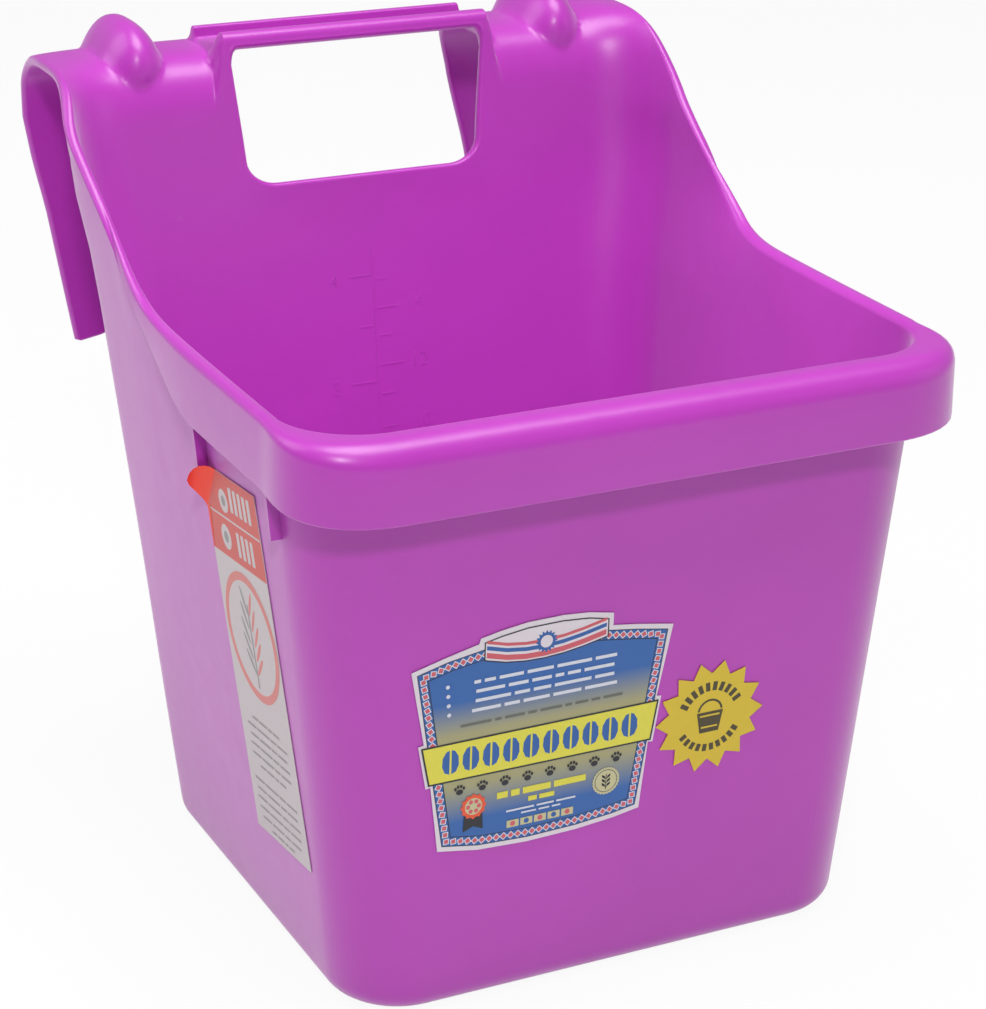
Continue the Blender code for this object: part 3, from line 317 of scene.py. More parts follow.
# Inks and films: name, colour, roughness. What each gives the eye stands beside it
FILMS = (
    ("vinyl_film_white", "#e9e0e8", 0.34),  # cool white edge round the front sticker
    ("screen_ink_black", "#25262e", 0.42),  # thin outlines and paw prints
    ("screen_ink_blue", "#2c62ad", 0.40),  # deep blue of the border and the beans
    ("screen_ink_white", "#dfe3ee", 0.40),  # small bars and lozenges, slightly sunk into the blue
    ("screen_ink_red", "#d8606c", 0.40),  # warm specks of the border
    ("screen_ink_grey", "#6c7068", 0.42),  # the faint row on the sand tone, and a ring in the seal
    ("screen_ink_yellow", "#e8e14c", 0.40),  # broad lemon band
    ("screen_ink_cream", "#cfca9c", 0.42),  # the round seal
    ("screen_ink_orange", "#ef5a35", 0.40),  # the rosette
    ("vinyl_film_yellow", "#e2c52f", 0.36),  # the burst, a deeper yellow than the band
    ("screen_ink_umber", "#4c4225", 0.42),  # the burst's dark drawing
    ("paper_coated_pale", "#d9d0d3", 0.55),  # flat pale paper with no gloss
    ("litho_ink_rose", "#df6560", 0.50),  # faded red header
    ("litho_ink_pink", "#e58a86", 0.50),  # the ring
    ("litho_ink_ash", "#a39fa2", 0.55),  # fine grey rows and the ear of grain
    ("painted_highlight_red", "#ff3d1f", 0.45),  # painted highlight: a brighter red for the lit back of the peeled corner, and for the flat edge below it
)


def length(name, default, description):
    """A size in metres that the panel shows."""
    return FloatProperty(name=name, default=default, description=description, unit="LENGTH", precision=4)


class FeederSizes(bpy.types.PropertyGroup):
    """Sizes of the feeder's moulding."""

    rim_height: length("Rim height", 0.2677, "Height of the level rim")
    base_half_width: length("Base half width", 0.1227, "Half the tub's width at its base")
    rim_half_width: length("Rim half width", 0.1484, "Half the tub's width at its rim")
    base_half_depth: length("Base half depth", 0.1164, "Half the tub's depth at its base")
    rim_front_depth: length("Rim front", 0.1267, "Distance of the front wall from the middle, at the rim")
    rim_back_depth: length("Rim back", 0.1516, "Distance of the back wall from the middle, at the rim")
    base_corner_radius: length("Base corner radius", 0.0332, "Radius of the upright corners at the base")
    rim_corner_radius: length("Rim corner radius", 0.0375, "Radius of the upright corners at the rim")
    base_edge_radius: length("Base edge radius", 0.0099, "Rounding of the edge round the base")
    wall: length("Wall", 0.004, "Thickness of the tub's wall and floor")
    climb_start_y: length("Climb start", 0.052, "Depth at which the side rims begin to climb")
    lip_front_reach: length("Lip reach, front", 0.0139, "How far the lip stands out from the front wall")
    lip_side_reach: length("Lip reach, sides", 0.0037, "How far the lip stands out from the side walls")
    skirt_front_drop: length("Skirt, front", 0.0334, "Height of the lip's skirt at the front")
    skirt_side_drop: length("Skirt, sides", 0.03, "Height of the lip's skirt at the sides")
    hook_start_height: length("Hook start", 0.3, "Height at which the hooks' outer edges leave the rim")
    arch_centre_height: length("Arch foot", 0.3135, "Height at which the arches begin to bend")
    crown_height: length("Crown", 0.3496, "Height of the arches")
    leg_back_y: length("Leg depth", 0.229, "Depth of the back faces of the hooks' legs")
    hook_wall: length("Hook wall", 0.005, "Thickness of the hooks")
    hook_outer_half: length("Hook half spread", 0.148, "Half the width over both hooks")
    foot_height: length("Hook foot", 0.2, "Height of the hooks' outer tips")
    foot_outer_half: length("Foot outer edge", 0.123, "Half width of the hooks' outer tips")
    foot_inner_half: length("Foot inner edge", 0.101, "Half width of the feet's inner edges")
    dome_x: length("Dome place", 0.109, "Half width at which the domes stand")
    dome_rise: length("Dome rise", 0.0155, "Height of the domes on the arches")
    dome_half_width: length("Dome half width", 0.0148, "Half the width of a dome")
    dome_half_length: length("Dome half length", 0.037, "Half the length of a dome")
    window_sill_height: length("Window sill", 0.287, "Height of the hand window's lower edge")
    window_half_width: length("Window half width", 0.0612, "Half the width of the hand window")
    window_lower_round: length("Window rounding", 0.0160, "Radius of the window's lower corners")
    bar_top_height: length("Bar top", 0.3596, "Height of the bar over the window")
    bar_bottom_height: length("Bar underside", 0.3548, "Height of the window's upper edge")
    bar_depth: length("Bar depth", 0.0066, "Thickness of the bar from front to back")
    rib_front_y: length("Rear rib", 0.1945, "Depth of the thin rib behind the bar")
    post_half_width: length("Post edge", 0.0695, "Half width over the posts beside the window")


def linear(code):
    """An sRGB hex colour as the linear values that Blender's shaders take."""
    values = [int(code[i:i + 2], 16) / 255 for i in (1, 3, 5)]
    return [v / 12.92 if v <= 0.04045 else ((v + 0.055) / 1.055) ** 2.4 for v in values] + [1.0]


def colour(name, code, description):
    """A colour that the panel shows."""
    values = linear(code)
    return FloatVectorProperty(
        name=name, subtype="COLOR", size=4, min=0, max=1, default=values, description=description)


class FeederColours(bpy.types.PropertyGroup):
    """Colours of the feeder's plastic, its front label and the room."""

    plastic: colour("Plastic", "#c43cc3", "Pigment of the moulding")
    plastic_deep: colour("Plastic, deep", "#b835b7", "Darker clouds in the pigment")
    scuff: colour("Scuffs", "#c98acb", "Pale rubbed specks")
    sky: colour("Label blue", "#2f66b0", "Upper and lower tone of the front label")
    sand: colour("Label sand", "#aaa67a", "Middle tone of the front label")
    floor: colour("Floor", "#f4f4f4", "Paper under the feeder")
    world_strength: FloatProperty(
        name="Room light", default=0.11, min=0, description="Brightness of the white room")


def lerp(a, b, t):
    """The value at share t of the way from a to b."""
    return a + (b - a) * t


def ease(a, b, value):
    """0 below a, 1 above b and a smooth step between."""
    t = min(1.0, max(0.0, (value - a) / (b - a)))
    return t * t * (3 - 2 * t)


def unit(v):
    return v / np.linalg.norm(v)


def rounded(corners, radii, spans):
    """The open outline through corners, each inner corner turned into an arc."""
    points = []
    for i in range(1, len(corners) - 1):
        here = np.array(corners[i])
        back = unit(np.array(corners[i - 1]) - here)
        ahead = unit(np.array(corners[i + 1]) - here)
        half = np.arccos(np.clip(back @ ahead, -1, 1)) / 2
        reach = radii[i - 1] / tan(half)
        centre = here + unit(back + ahead) * radii[i - 1] / sin(half)
        start = here + back * reach - centre
        end = here + ahead * reach - centre
        turn = atan2(start[0] * end[1] - start[1] * end[0], start @ end)
        for step in range(spans[i - 1] + 1):
            a = turn * step / spans[i - 1]
            spun = (start[0] * cos(a) - start[1] * sin(a), start[0] * sin(a) + start[1] * cos(a))
            points.append(centre + np.array(spun))
    return points


def steps(start, end, spans):
    """Even steps from start to just before the end."""
    return [lerp(start, end, i / spans) for i in range(spans)]


def path_shares(points):
    """Each point's distance along the path, as a share of the whole."""
    lengths = [0.0]
    for a, b in zip(points, points[1:]):
        lengths.append(lengths[-1] + float(np.linalg.norm(np.array(b) - np.array(a))))
    return [v / lengths[-1] for v in lengths]


def round_edge(start, end, out):
    """Points from start to end over a rounded edge that stands out between them."""
    turns = [pi * m / (EDGE_POINTS + 1) for m in range(EDGE_POINTS + 2)]
    return [lerp(start, end, (1 - cos(v)) / 2) + out * HOOK_EDGE_BULGE * sin(v) for v in turns]


def along(path, share):
    """The point at a share of a path's length."""
    shares = path_shares(path)
    for i in range(1, len(shares)):
        if share <= shares[i] or i == len(shares) - 1:
            t = (share - shares[i - 1]) / (shares[i] - shares[i - 1])
            return lerp(np.array(path[i - 1]), np.array(path[i]), min(1, max(0, t)))


def wall_matrix(place, across, up):
    """The matrix that lays a flat drawing on a wall, facing out along across x up."""
    across = Vector(across).normalized()
    up = Vector(up).normalized()
    turn = Matrix((across, up, across.cross(up))).transposed()
    return Matrix.Translation(place) @ turn.to_4x4()


class Form:
    """The feeder's surfaces, worked out from the panel's sizes."""

    def __init__(self, sizes):
        self.s = SimpleNamespace(**{name: getattr(sizes, name) for name in FeederSizes.__annotations__})
        self.side_lean = (self.s.rim_half_width - self.s.base_half_width) / self.s.rim_height
        self.front_lean = (self.s.rim_front_depth - self.s.base_half_depth) / self.s.rim_height
        self.handle = self.handle_outline()

    def tub_half_width(self, z):
        return lerp(self.s.base_half_width, self.s.rim_half_width, z / self.s.rim_height)

    def tub_front(self, z):
        return -lerp(self.s.base_half_depth, self.s.rim_front_depth, z / self.s.rim_height)

    def tub_back(self, z):
        return lerp(self.s.base_half_depth, self.s.rim_back_depth, z / self.s.rim_height)

    def corner_radius(self, z):
        return lerp(self.s.base_corner_radius, self.s.rim_corner_radius, z / self.s.rim_height)

    def plan(self, station, z, inset):
        """A station's place and outward direction on the tub's plan at height z."""
        zone, value = station
        half = self.tub_half_width(z)
        front = self.tub_front(z)
        back = self.tub_back(z)
        radius = self.corner_radius(z)
        if zone == "front":
            return np.array((value * (half - radius), front + inset, z)), np.array((0.0, -1.0, 0.0))
        if zone == "front_corner":
            out = np.array((sin(value), -cos(value), 0.0))
            return np.array((half - radius, front + radius, z)) + out * (radius - inset), out
        if zone == "side":
            depth = lerp(front + radius, back - radius, value)
            return np.array((half - inset, depth, z)), np.array((1.0, 0.0, 0.0))
        if zone == "back_corner":
            out = np.array((sin(value), cos(value), 0.0))
            return np.array((half - radius, back - radius, z)) + out * (radius - inset), out
        return np.array((value * (half - radius), back - inset, z)), np.array((0.0, 1.0, 0.0))

    def rim_height(self, y):
        """Height of the rim's top edge at depth y: level, then a steady climb."""
        past = y - self.s.climb_start_y
        return self.s.rim_height + CLIMB_SHARE * (past + sqrt(past * past + CLIMB_EASE**2)) / 2

    def edge_depth(self, z):
        """Depth y of the top skin's edge at height z, set back from the climbing rim by its bulge."""
        run = 2 * (z + HOOK_EDGE_BULGE * sqrt(1 + CLIMB_SHARE**2) - self.s.rim_height) / CLIMB_SHARE
        return self.s.climb_start_y + (run * run - CLIMB_EASE**2) / (2 * run)

    def hook_start_share(self):
        """Where along the side's straight run the hook's outer edge leaves the rim."""
        z = self.s.hook_start_height
        front = self.tub_front(z) + self.corner_radius(z)
        back = self.tub_back(z) - self.corner_radius(z)
        return (self.edge_depth(z) - front) / (back - front)

    def window_half_width(self, z):
        return self.s.window_half_width + WINDOW_FLARE_SHARE * (z - self.s.hook_start_height)

    def back_run(self, z):
        """Half width of the back wall's flat part."""
        return self.tub_half_width(z) - self.corner_radius(z)

    def post_stations(self):
        """Half widths, at crown height, of the stations that carry the post and its gusset."""
        window = self.window_half_width(self.s.bar_bottom_height)
        places = [(window + self.s.post_half_width - GUSSET_EASE) / 2]
        places += [self.s.post_half_width + GUSSET_EASE * v for v in POST_SHARES]
        return places

    def gusset_edge(self, z):
        """Half width of the post at height z, and half the width of its soft edge."""
        spread = GUSSET_LEAN_SHARE * max(0, self.s.crown_height - z)
        return self.s.post_half_width + spread, GUSSET_EASE + spread * GUSSET_SOFT_SHARE

    def list_stations(self):
        """Stations of the right half, from the middle of the front to the middle of the back."""
        share = self.hook_start_share()
        climb = share * CLIMB_SPLIT_SHARE
        stations = [("front", v) for v in steps(0, 1, FRONT_SPANS)]
        stations += [("front_corner", v) for v in steps(0, pi / 2, FRONT_CORNER_SPANS)]
        stations += [("side", v) for v in steps(0, climb, SIDE_SPANS)]
        stations += [("side", v) for v in steps(climb, share, CLIMB_SPANS)]
        outer = len(stations)
        stations += [("side", v) for v in steps(share, 1, OUTER_SPANS)]
        stations += [("back_corner", v) for v in steps(pi / 2, 0, HOOK_CORNER_SPANS)]
        run = self.back_run(self.s.hook_start_height)
        window = self.window_half_width(self.s.hook_start_height) / run
        crown = self.back_run(self.s.crown_height)
        top = self.window_half_width(self.s.bar_bottom_height)
        posts = [(v - top) / (crown - top) for v in self.post_stations()]
        shares = steps(1, posts[-1], FLAT_SPANS) + posts[::-1]
        stations += [("back", lerp(window, 1, v)) for v in shares]
        inner = len(stations)
        stations.append(("back", window))
        corner = window - self.s.window_lower_round / run
        spans = WINDOW_CORNER_SPANS
        stations += [("back", lerp(corner, window, cos(pi / 2 * i / spans))) for i in range(1, spans)]
        stations += [("back", v) for v in steps(corner, 0, WINDOW_FLAT_SPANS)]
        stations.append(("back", 0.0))
        return stations, outer, inner

    def list_rows(self):
        """The hooks' rows after the start row: up the wall, over the arch and down the leg."""
        rises = steps(self.s.hook_start_height, self.s.arch_centre_height, RISE_SPANS)
        rows = [("rise", v) for v in rises[1:]]
        rows += [("arch", radians(v)) for v in ARCH_FRONT_DEGREES]
        bar = len(rows) - 1
        shares = path_shares(self.handle)
        rows += [("arch", radians(lerp(BAR_START_DEGREES, RIB_END_DEGREES, v))) for v in shares]
        rib = len(rows) - 1
        rows += [("arch", radians(v)) for v in ARCH_BACK_DEGREES]
        rows += [("leg", (i + 1) / LEG_SPANS) for i in range(LEG_SPANS)]
        return rows, bar, rib

    def wall_face(self, z):
        """Depth y of the back wall's inner face."""
        return self.tub_back(z) - self.s.wall

    def handle_outline(self):
        """Section through bar, trough and rib, as (y, z) from the bar's front to the rib's back foot."""
        top = self.s.bar_top_height
        front = self.wall_face(top)
        edge = front + self.s.bar_depth
        rib = self.s.rib_front_y
        corners = [(self.wall_face(self.s.bar_bottom_height), self.s.bar_bottom_height), (front, top)]
        corners += [(edge, top), (edge, top - TROUGH_FRONT_DROP), (rib, top - TROUGH_BACK_DROP)]
        corners += [(rib, top - RIB_TOP_DROP), (rib + RIB_DEPTH, top - RIB_TOP_DROP)]
        corners += [(rib + RIB_DEPTH, top - RIB_FOOT_DROP)]
        radii = (BAR_FRONT_ROUND, BAR_BACK_ROUND, TROUGH_ROUND, TROUGH_ROUND, RIB_ROUND, RIB_ROUND)
        outline = rounded(corners, radii, HANDLE_SPANS)
        trough = steps(outline[BAR_POINTS - 1], outline[BAR_POINTS], TROUGH_SPANS)[1:]
        return outline[:BAR_POINTS] + trough + outline[BAR_POINTS:] + [np.array(corners[-1])]

    def wall_place(self, a, z, inset):
        """A place on the tub's plan, a along the wall from the end of the flat back."""
        radius = self.corner_radius(z) - inset
        centre_x = self.tub_half_width(z) - self.corner_radius(z)
        centre_y = self.tub_back(z) - self.corner_radius(z)
        if a < 0:
            return np.array((centre_x + a, centre_y + radius, z))
        if a < radius * pi / 2:
            turn = a / radius
            return np.array((centre_x + radius * sin(turn), centre_y + radius * cos(turn), z))
        return np.array((centre_x + radius, centre_y - (a - radius * pi / 2), z))

    def arch_shape(self, angle):
        """Share of the arch's reach and of its rise at an angle over it, squarer at the front."""
        squareness = ARCH_FRONT_SQUARENESS if angle < pi / 2 else ARCH_BACK_SQUARENESS
        c = abs(cos(angle)) ** (2 / squareness) * (1 if cos(angle) > 0 else -1)
        return 1 - c, abs(sin(angle)) ** (2 / squareness)

    def plain_skin(self, a, row):
        """The hooks' top skin before the domes and the handle are added."""
        kind, value = row
        if kind == "rise":
            return self.wall_place(a, value, self.s.wall)
        base = self.wall_place(a, self.s.arch_centre_height, self.s.wall)
        angle = value if kind == "arch" else pi
        reach, rise = self.arch_shape(angle)
        z = lerp(self.s.arch_centre_height, self.s.crown_height, rise)
        lean = self.wall_place(a, z, self.s.wall)[1] - base[1]
        y = base[1] + (self.s.leg_back_y - base[1]) / 2 * reach + lean * max(0, 1 - reach)
        x = self.wall_place(a, z if angle < pi / 2 else self.s.crown_height, self.s.wall)[0]
        if kind == "leg":
            foot = self.foot_height(x)
            z = lerp(self.s.arch_centre_height, foot, value)
        return np.array((x, y, z))

    def foot_height(self, x):
        """The foot's lower edge: square to the outer edge, with its inner corner rounded."""
        z = self.s.foot_height + FOOT_TILT_SHARE * (self.s.foot_outer_half - x)
        past = self.s.foot_inner_half + FOOT_CORNER_ROUND - x
        if past > 0:
            z += FOOT_CORNER_ROUND - sqrt(max(0, FOOT_CORNER_ROUND**2 - min(past, FOOT_CORNER_ROUND) ** 2))
        return z

    def arc_at(self, x):
        """Distance a along the wall, at crown height, for a half width x."""
        radius = self.corner_radius(self.s.crown_height) - self.s.wall
        past = x - self.back_run(self.s.crown_height)
        return past if past < 0 else radius * asin(past / radius)

    def outer_edge(self, row):
        """Distance a of the hook's outer edge on a row."""
        kind, value = row
        if kind == "rise":
            turn = (self.corner_radius(value) - self.s.wall) * pi / 2
            return turn + self.tub_back(value) - self.corner_radius(value) - self.edge_depth(value)
        if kind == "leg":
            return self.arc_at(lerp(LEG_TOP_OUTER_HALF, self.s.foot_outer_half, value))
        if value > pi / 2:
            t = ease(pi / 2, pi, value)
            return self.arc_at(lerp(self.s.hook_outer_half, LEG_TOP_OUTER_HALF, t))
        start = self.outer_edge(("rise", self.s.arch_centre_height))
        crown = self.arc_at(self.s.hook_outer_half)
        rise = self.arch_shape(value)[1]
        power = (self.s.crown_height - self.s.arch_centre_height) / CLIMB_SHARE / (start - crown)
        return lerp(crown, start, (1 - rise) ** power)

    def inner_edge(self, row, bar_share):
        """Half width of the hook's inner edge on a row."""
        kind, value = row
        top = self.window_half_width(self.s.bar_bottom_height)
        if kind == "rise":
            return self.window_half_width(value)
        if kind == "leg":
            return lerp(LEG_TOP_INNER_HALF, self.s.foot_inner_half, value)
        end = radians(RIB_END_DEGREES)
        if value > end:
            return lerp(top, LEG_TOP_INNER_HALF, (value - end) / (pi - end))
        z = lerp(self.s.arch_centre_height, self.s.bar_bottom_height, bar_share)
        return self.window_half_width(z)

    def bump(self, x, distance):
        """Height of the hook's dome at half width x and distance along the arch from its crown."""
        u = (x - self.s.dome_x) / self.s.dome_half_width
        v = distance / self.s.dome_half_length
        rise = 1 - u * u - v * v
        soft = DOME_SOFT_SHARE
        return self.s.dome_rise * (rise + sqrt(rise * rise + soft * soft)) / 2

    def front_frame(self, x, z):
        """The front wall's own axes at a place on it: across, up and out."""
        return wall_matrix((x, self.tub_front(z), z), (1, 0, 0), (0, -self.front_lean, 1))

    def side_frame(self, y, z, tilt):
        """The left wall's own axes at a place on it, turned by a tilt."""
        up = Vector((-self.side_lean, 0, 1)).normalized()
        back = Vector((0, 1, 0))
        place = (-self.tub_half_width(z), y, z)
        return wall_matrix(place, up * sin(tilt) - back * cos(tilt), up * cos(tilt) + back * sin(tilt))

    def back_frame(self, x, z):
        """The inner back wall's own axes at a place on it, seen from the front."""
        lean = (self.s.rim_back_depth - self.s.base_half_depth) / self.s.rim_height
        return wall_matrix((x, self.wall_face(z), z), (1, 0, 0), (0, lean, 1))

    def skin_normal(self, a, row):
        """The way from the hooks' top skin into the plastic, by small steps along the skin."""
        kind, value = row
        if kind == "leg":
            return np.array((0.0, -1.0, 0.0))
        sideways = self.plain_skin(a + PROBE, row) - self.plain_skin(a - PROBE, row)
        if kind == "rise":
            ahead = self.plain_skin(a, (kind, value + PROBE)) - self.plain_skin(a, (kind, value - PROBE))
        else:
            start = max(value - PROBE_ANGLE, PROBE_END)
            end = min(value + PROBE_ANGLE, pi - PROBE_END)
            ahead = self.plain_skin(a, (kind, end)) - self.plain_skin(a, (kind, start))
        return unit(np.cross(ahead, sideways))


class Moulding(Form):
    """The right half of the feeder's skin, as two grids joined by a band round their edge."""

    def __init__(self, sizes):
        super().__init__(sizes)
        self.stations, self.outer, self.inner = self.list_stations()
        self.rows, self.bar, self.rib = self.list_rows()
        self.last = len(self.stations) - 1
        self.floor_rows = FILLET_SPANS + WALL_SPANS
        self.top = {}
        self.under = {}
        self.edges = {}
        self.set_hook_shares()
        self.set_walls()
        self.set_hooks()
        self.set_window_bar()
        self.set_bands()

    def set_hook_shares(self):
        """Place of each hook station between the window, the flat back's end and the outer edge."""
        self.shares = {}
        start = self.s.hook_start_height
        far = self.outer_edge(("rise", start))
        radius = self.corner_radius(start) - self.s.wall
        run = self.back_run(start)
        window = self.window_half_width(start)
        for k in range(self.outer, self.inner + 1):
            zone, value = self.stations[k]
            if zone == "side":
                depth = self.plan(self.stations[k], start, self.s.wall)[0][1]
                centre_y = self.tub_back(start) - self.corner_radius(start)
                self.shares[k] = (radius * pi / 2 + centre_y - depth) / far
            elif zone == "back_corner":
                self.shares[k] = radius * value / far
            else:
                self.shares[k] = -(1 - (value * run - window) / (run - window))

    def place_on_wall(self, k, row):
        """Distance a of hook station k on a row."""
        share = self.shares[k]
        if share >= 0:
            return share * self.outer_edge(row)
        z = self.row_height(row)
        edge = self.inner_edge(row, self.bar_share(row))
        run = self.back_run(z)
        if row[0] == "leg" or row[1] > radians(RIB_END_DEGREES):
            return -share * (edge - run)
        post, soft = self.gusset_edge(z)
        marks = [edge] + [post + soft * v for v in POST_SHARES] + [run]
        top = self.window_half_width(self.s.bar_bottom_height)
        crown = self.back_run(self.s.crown_height)
        places = [0] + [(v - top) / (crown - top) for v in self.post_stations()[1:]] + [1]
        return np.interp(1 + share, places, marks) - run

    def bar_share(self, row):
        """How far up the post a front row lies, as a share of its way to the bar."""
        kind, value = row
        last = self.arch_shape(radians(ARCH_FRONT_DEGREES[-1]))[1]
        return min(1, self.arch_shape(value)[1] / last) if kind == "arch" else 0

    def row_height(self, row):
        kind, value = row
        if kind == "rise":
            return value
        angle = value if kind == "arch" else pi
        if angle > pi / 2:
            return self.s.crown_height
        return lerp(self.s.arch_centre_height, self.s.crown_height, self.arch_shape(angle)[1])

    def rim_frame(self, k):
        """The rim's reference place, its outward direction and its upward one."""
        station = self.stations[k]
        z = self.s.rim_height
        if station[0] == "side":
            for _ in range(SETTLE_TURNS):
                z = self.rim_height(self.plan(station, z, 0)[0][1])
        if k == self.outer:
            z = self.s.hook_start_height
        place, out = self.plan(station, z, 0)
        slope = 0.0
        if station[0] == "side":
            past = place[1] - self.s.climb_start_y
            slope = CLIMB_SHARE * (1 + past / sqrt(past * past + CLIMB_EASE**2)) / 2
        up = unit(np.array((0.0, -slope, 1.0)))
        return place, out, up

    def lip_section(self, k):
        """The lip's section at a rim station, as outward and upward distances."""
        zone, value = self.stations[k]
        depth = self.rim_frame(k)[0][1]
        front = {"front": 1.0, "front_corner": cos(value)}.get(zone, 0.0)
        side = {"front": 0.0, "front_corner": sin(value)}.get(zone, 1.0)
        blend = front * front
        reach = lerp(self.s.lip_side_reach, self.s.lip_front_reach, blend)
        reach += LIP_CORNER_REACH * (2 * front * side) ** 2
        lean = lerp(self.side_lean, self.front_lean, blend)
        drop = lerp(self.s.skirt_side_drop, self.s.skirt_front_drop, blend)
        notch = lerp(NOTCH_SIDE_DROP, NOTCH_FRONT_DROP, blend)
        foot = reach + SKIRT_DRAFT_SHARE * drop
        inside = foot - SKIRT_WALL
        low = LIP_ROOT_SHARE * drop
        corners = [(-self.s.wall - lean * low, -low), (-self.s.wall, 0), (reach, 0), (foot, -drop)]
        corners += [(inside, -drop), (inside - SKIRT_DRAFT_SHARE * (drop - notch), -notch)]
        corners += [(-lean * notch, -notch), (-lean * low, -low)]
        top_round = lerp(LIP_SIDE_ROUND, LIP_FRONT_ROUND, blend)
        radii = [LIP_INNER_ROUND, top_round, SKIRT_EDGE_ROUND, SKIRT_EDGE_ROUND]
        skirted = rounded(corners, radii + [NOTCH_ROUND, NOTCH_ROUND], LIP_SPANS)
        climb = ease(SKIRT_FADE_START_Y, SKIRT_FADE_END_Y, depth) if zone == "side" else 0
        bare = self.bare_lip_section()
        return [lerp(a, b, climb) for a, b in zip(skirted, bare)]

    def bare_lip_section(self):
        """The lip's section on the climb, where its skirt has run out."""
        drop = SKIRT_CLIMB_DROP
        notch = NOTCH_CLIMB_DROP
        reach = LIP_CLIMB_REACH
        low = LIP_ROOT_SHARE * notch
        upper, lower = (lerp(drop, notch, v) for v in BARE_CORNER_SHARES)
        corners = [(-self.s.wall - self.side_lean * low, -low), (-self.s.wall, 0)]
        corners += [(reach, 0), (reach, -drop), (reach / 2, -upper), (0, -lower)]
        corners += [(-self.side_lean * notch, -notch), (-self.side_lean * low, -low)]
        radii = [LIP_INNER_ROUND, LIP_CLIMB_ROUND] + [BARE_ROUND] * 4
        return rounded(corners, radii, LIP_SPANS)

    def set_walls(self):
        """The floor's fillets, the walls and the rolled lip."""
        for k, station in enumerate(self.stations):
            if k < self.outer:
                band = self.rim_band(k)
            elif k <= self.inner:
                insets = (self.s.wall, self.s.wall - self.s.hook_wall)
                band = [self.plan(station, self.s.hook_start_height, v)[0] for v in insets]
            else:
                z = self.sill_height(station)
                sill = self.s.window_sill_height
                rise = (z - sill) / (self.s.hook_start_height - sill)
                insets = (self.s.wall, (self.s.wall - self.s.hook_wall) * rise)
                band = [self.plan(station, z, v)[0] for v in insets]
            self.edges[k] = band
            inner_round = self.s.base_edge_radius - self.s.wall
            self.set_column(self.top, k, band[0], self.s.wall, self.s.wall, inner_round)
            self.set_column(self.under, k, band[-1], 0, 0, self.s.base_edge_radius)

    def rim_band(self, k):
        """The points over the rim at a station: the rolled lip, turning into the hook's edge."""
        place, out, up = self.rim_frame(k)
        band = [place + out * o + up * h for o, h in self.lip_section(k)]
        if self.stations[k][0] != "side":
            return band
        inner = place - out * self.s.wall - up * HOOK_EDGE_BULGE
        plain = round_edge(inner, inner + out * self.s.hook_wall, up)
        fade = ease(SKIRT_FADE_END_Y, self.edge_depth(self.s.hook_start_height), place[1])
        return [lerp(a, b, fade) for a, b in zip(band, plain)]

    def set_column(self, grid, k, end, inset, floor, radius):
        """One station's column of wall points, from the floor to its end at the top."""
        station = self.stations[k]
        for j in range(FILLET_SPANS + 1):
            turn = pi / 2 * j / FILLET_SPANS
            z = floor + radius * (1 - cos(turn))
            grid[k, j] = self.plan(station, z, inset + radius * (1 - sin(turn)))[0]
        for i in range(1, WALL_SPANS):
            z = lerp(floor + radius, end[2], i / WALL_SPANS)
            grid[k, FILLET_SPANS + i] = self.plan(station, z, inset)[0]
        grid[k, self.floor_rows] = end

    def sill_height(self, station):
        """Height of the window's lower edge, with its rounded corner."""
        run = self.back_run(self.s.hook_start_height)
        window = self.window_half_width(self.s.hook_start_height)
        past = station[1] * run - (window - self.s.window_lower_round)
        rise = self.s.hook_start_height - self.s.window_sill_height
        if past <= 0:
            return self.s.window_sill_height
        share = min(1, past / self.s.window_lower_round)
        return self.s.window_sill_height + rise * (1 - sqrt(1 - share * share))

    def set_hooks(self):
        """The hooks' rows, with the post and the handle blended in beside the window."""
        for h, row in enumerate(self.rows):
            j = self.floor_rows + 1 + h
            kind, value = row
            for k in range(self.outer, self.inner + 1):
                a = self.place_on_wall(k, row)
                point = self.plain_skin(a, row)
                into = self.skin_normal(a, row)
                under = point + into * self.s.hook_wall
                if kind == "arch":
                    reach = (self.s.crown_height - self.s.arch_centre_height) * (value - pi / 2)
                    rise = self.bump(point[0], reach)
                    point = point - into * rise
                    under = under - into * rise * DOME_HOLLOW_SHARE
                if kind != "leg" and h <= self.rib:
                    point, under = self.add_post(h, row, point, under)
                self.top[k, j] = point
                self.under[k, j] = under

    def add_post(self, h, row, point, under):
        """Blend a hook point towards the straight post and the handle's section."""
        x = point[0]
        edge, soft = self.gusset_edge(self.row_height(row))
        if self.bar < h <= self.bar + BAR_POINTS:
            soft = BAR_END_EASE
        weight = 1 - ease(edge - soft, edge + soft, x)
        y, z = self.handle_top(h, row)
        point = lerp(point, np.array((x, y, z)), weight)
        y, z = self.handle_under(h)
        weight = 1 - ease(self.s.post_half_width, self.s.post_half_width + UNDER_EASE, x)
        under = lerp(under, np.array((under[0], y, z)), weight)
        return point, under

    def handle_top(self, h, row):
        """Section of the post and handle's top skin on a row, as (y, z)."""
        kind, value = row
        if h > self.bar:
            return self.handle[h - self.bar - 1]
        z = value
        if kind == "arch":
            end = self.s.bar_bottom_height - WINDOW_UPPER_ROUND
            z = lerp(self.s.arch_centre_height, end, self.bar_share(row))
        return self.wall_face(z), z

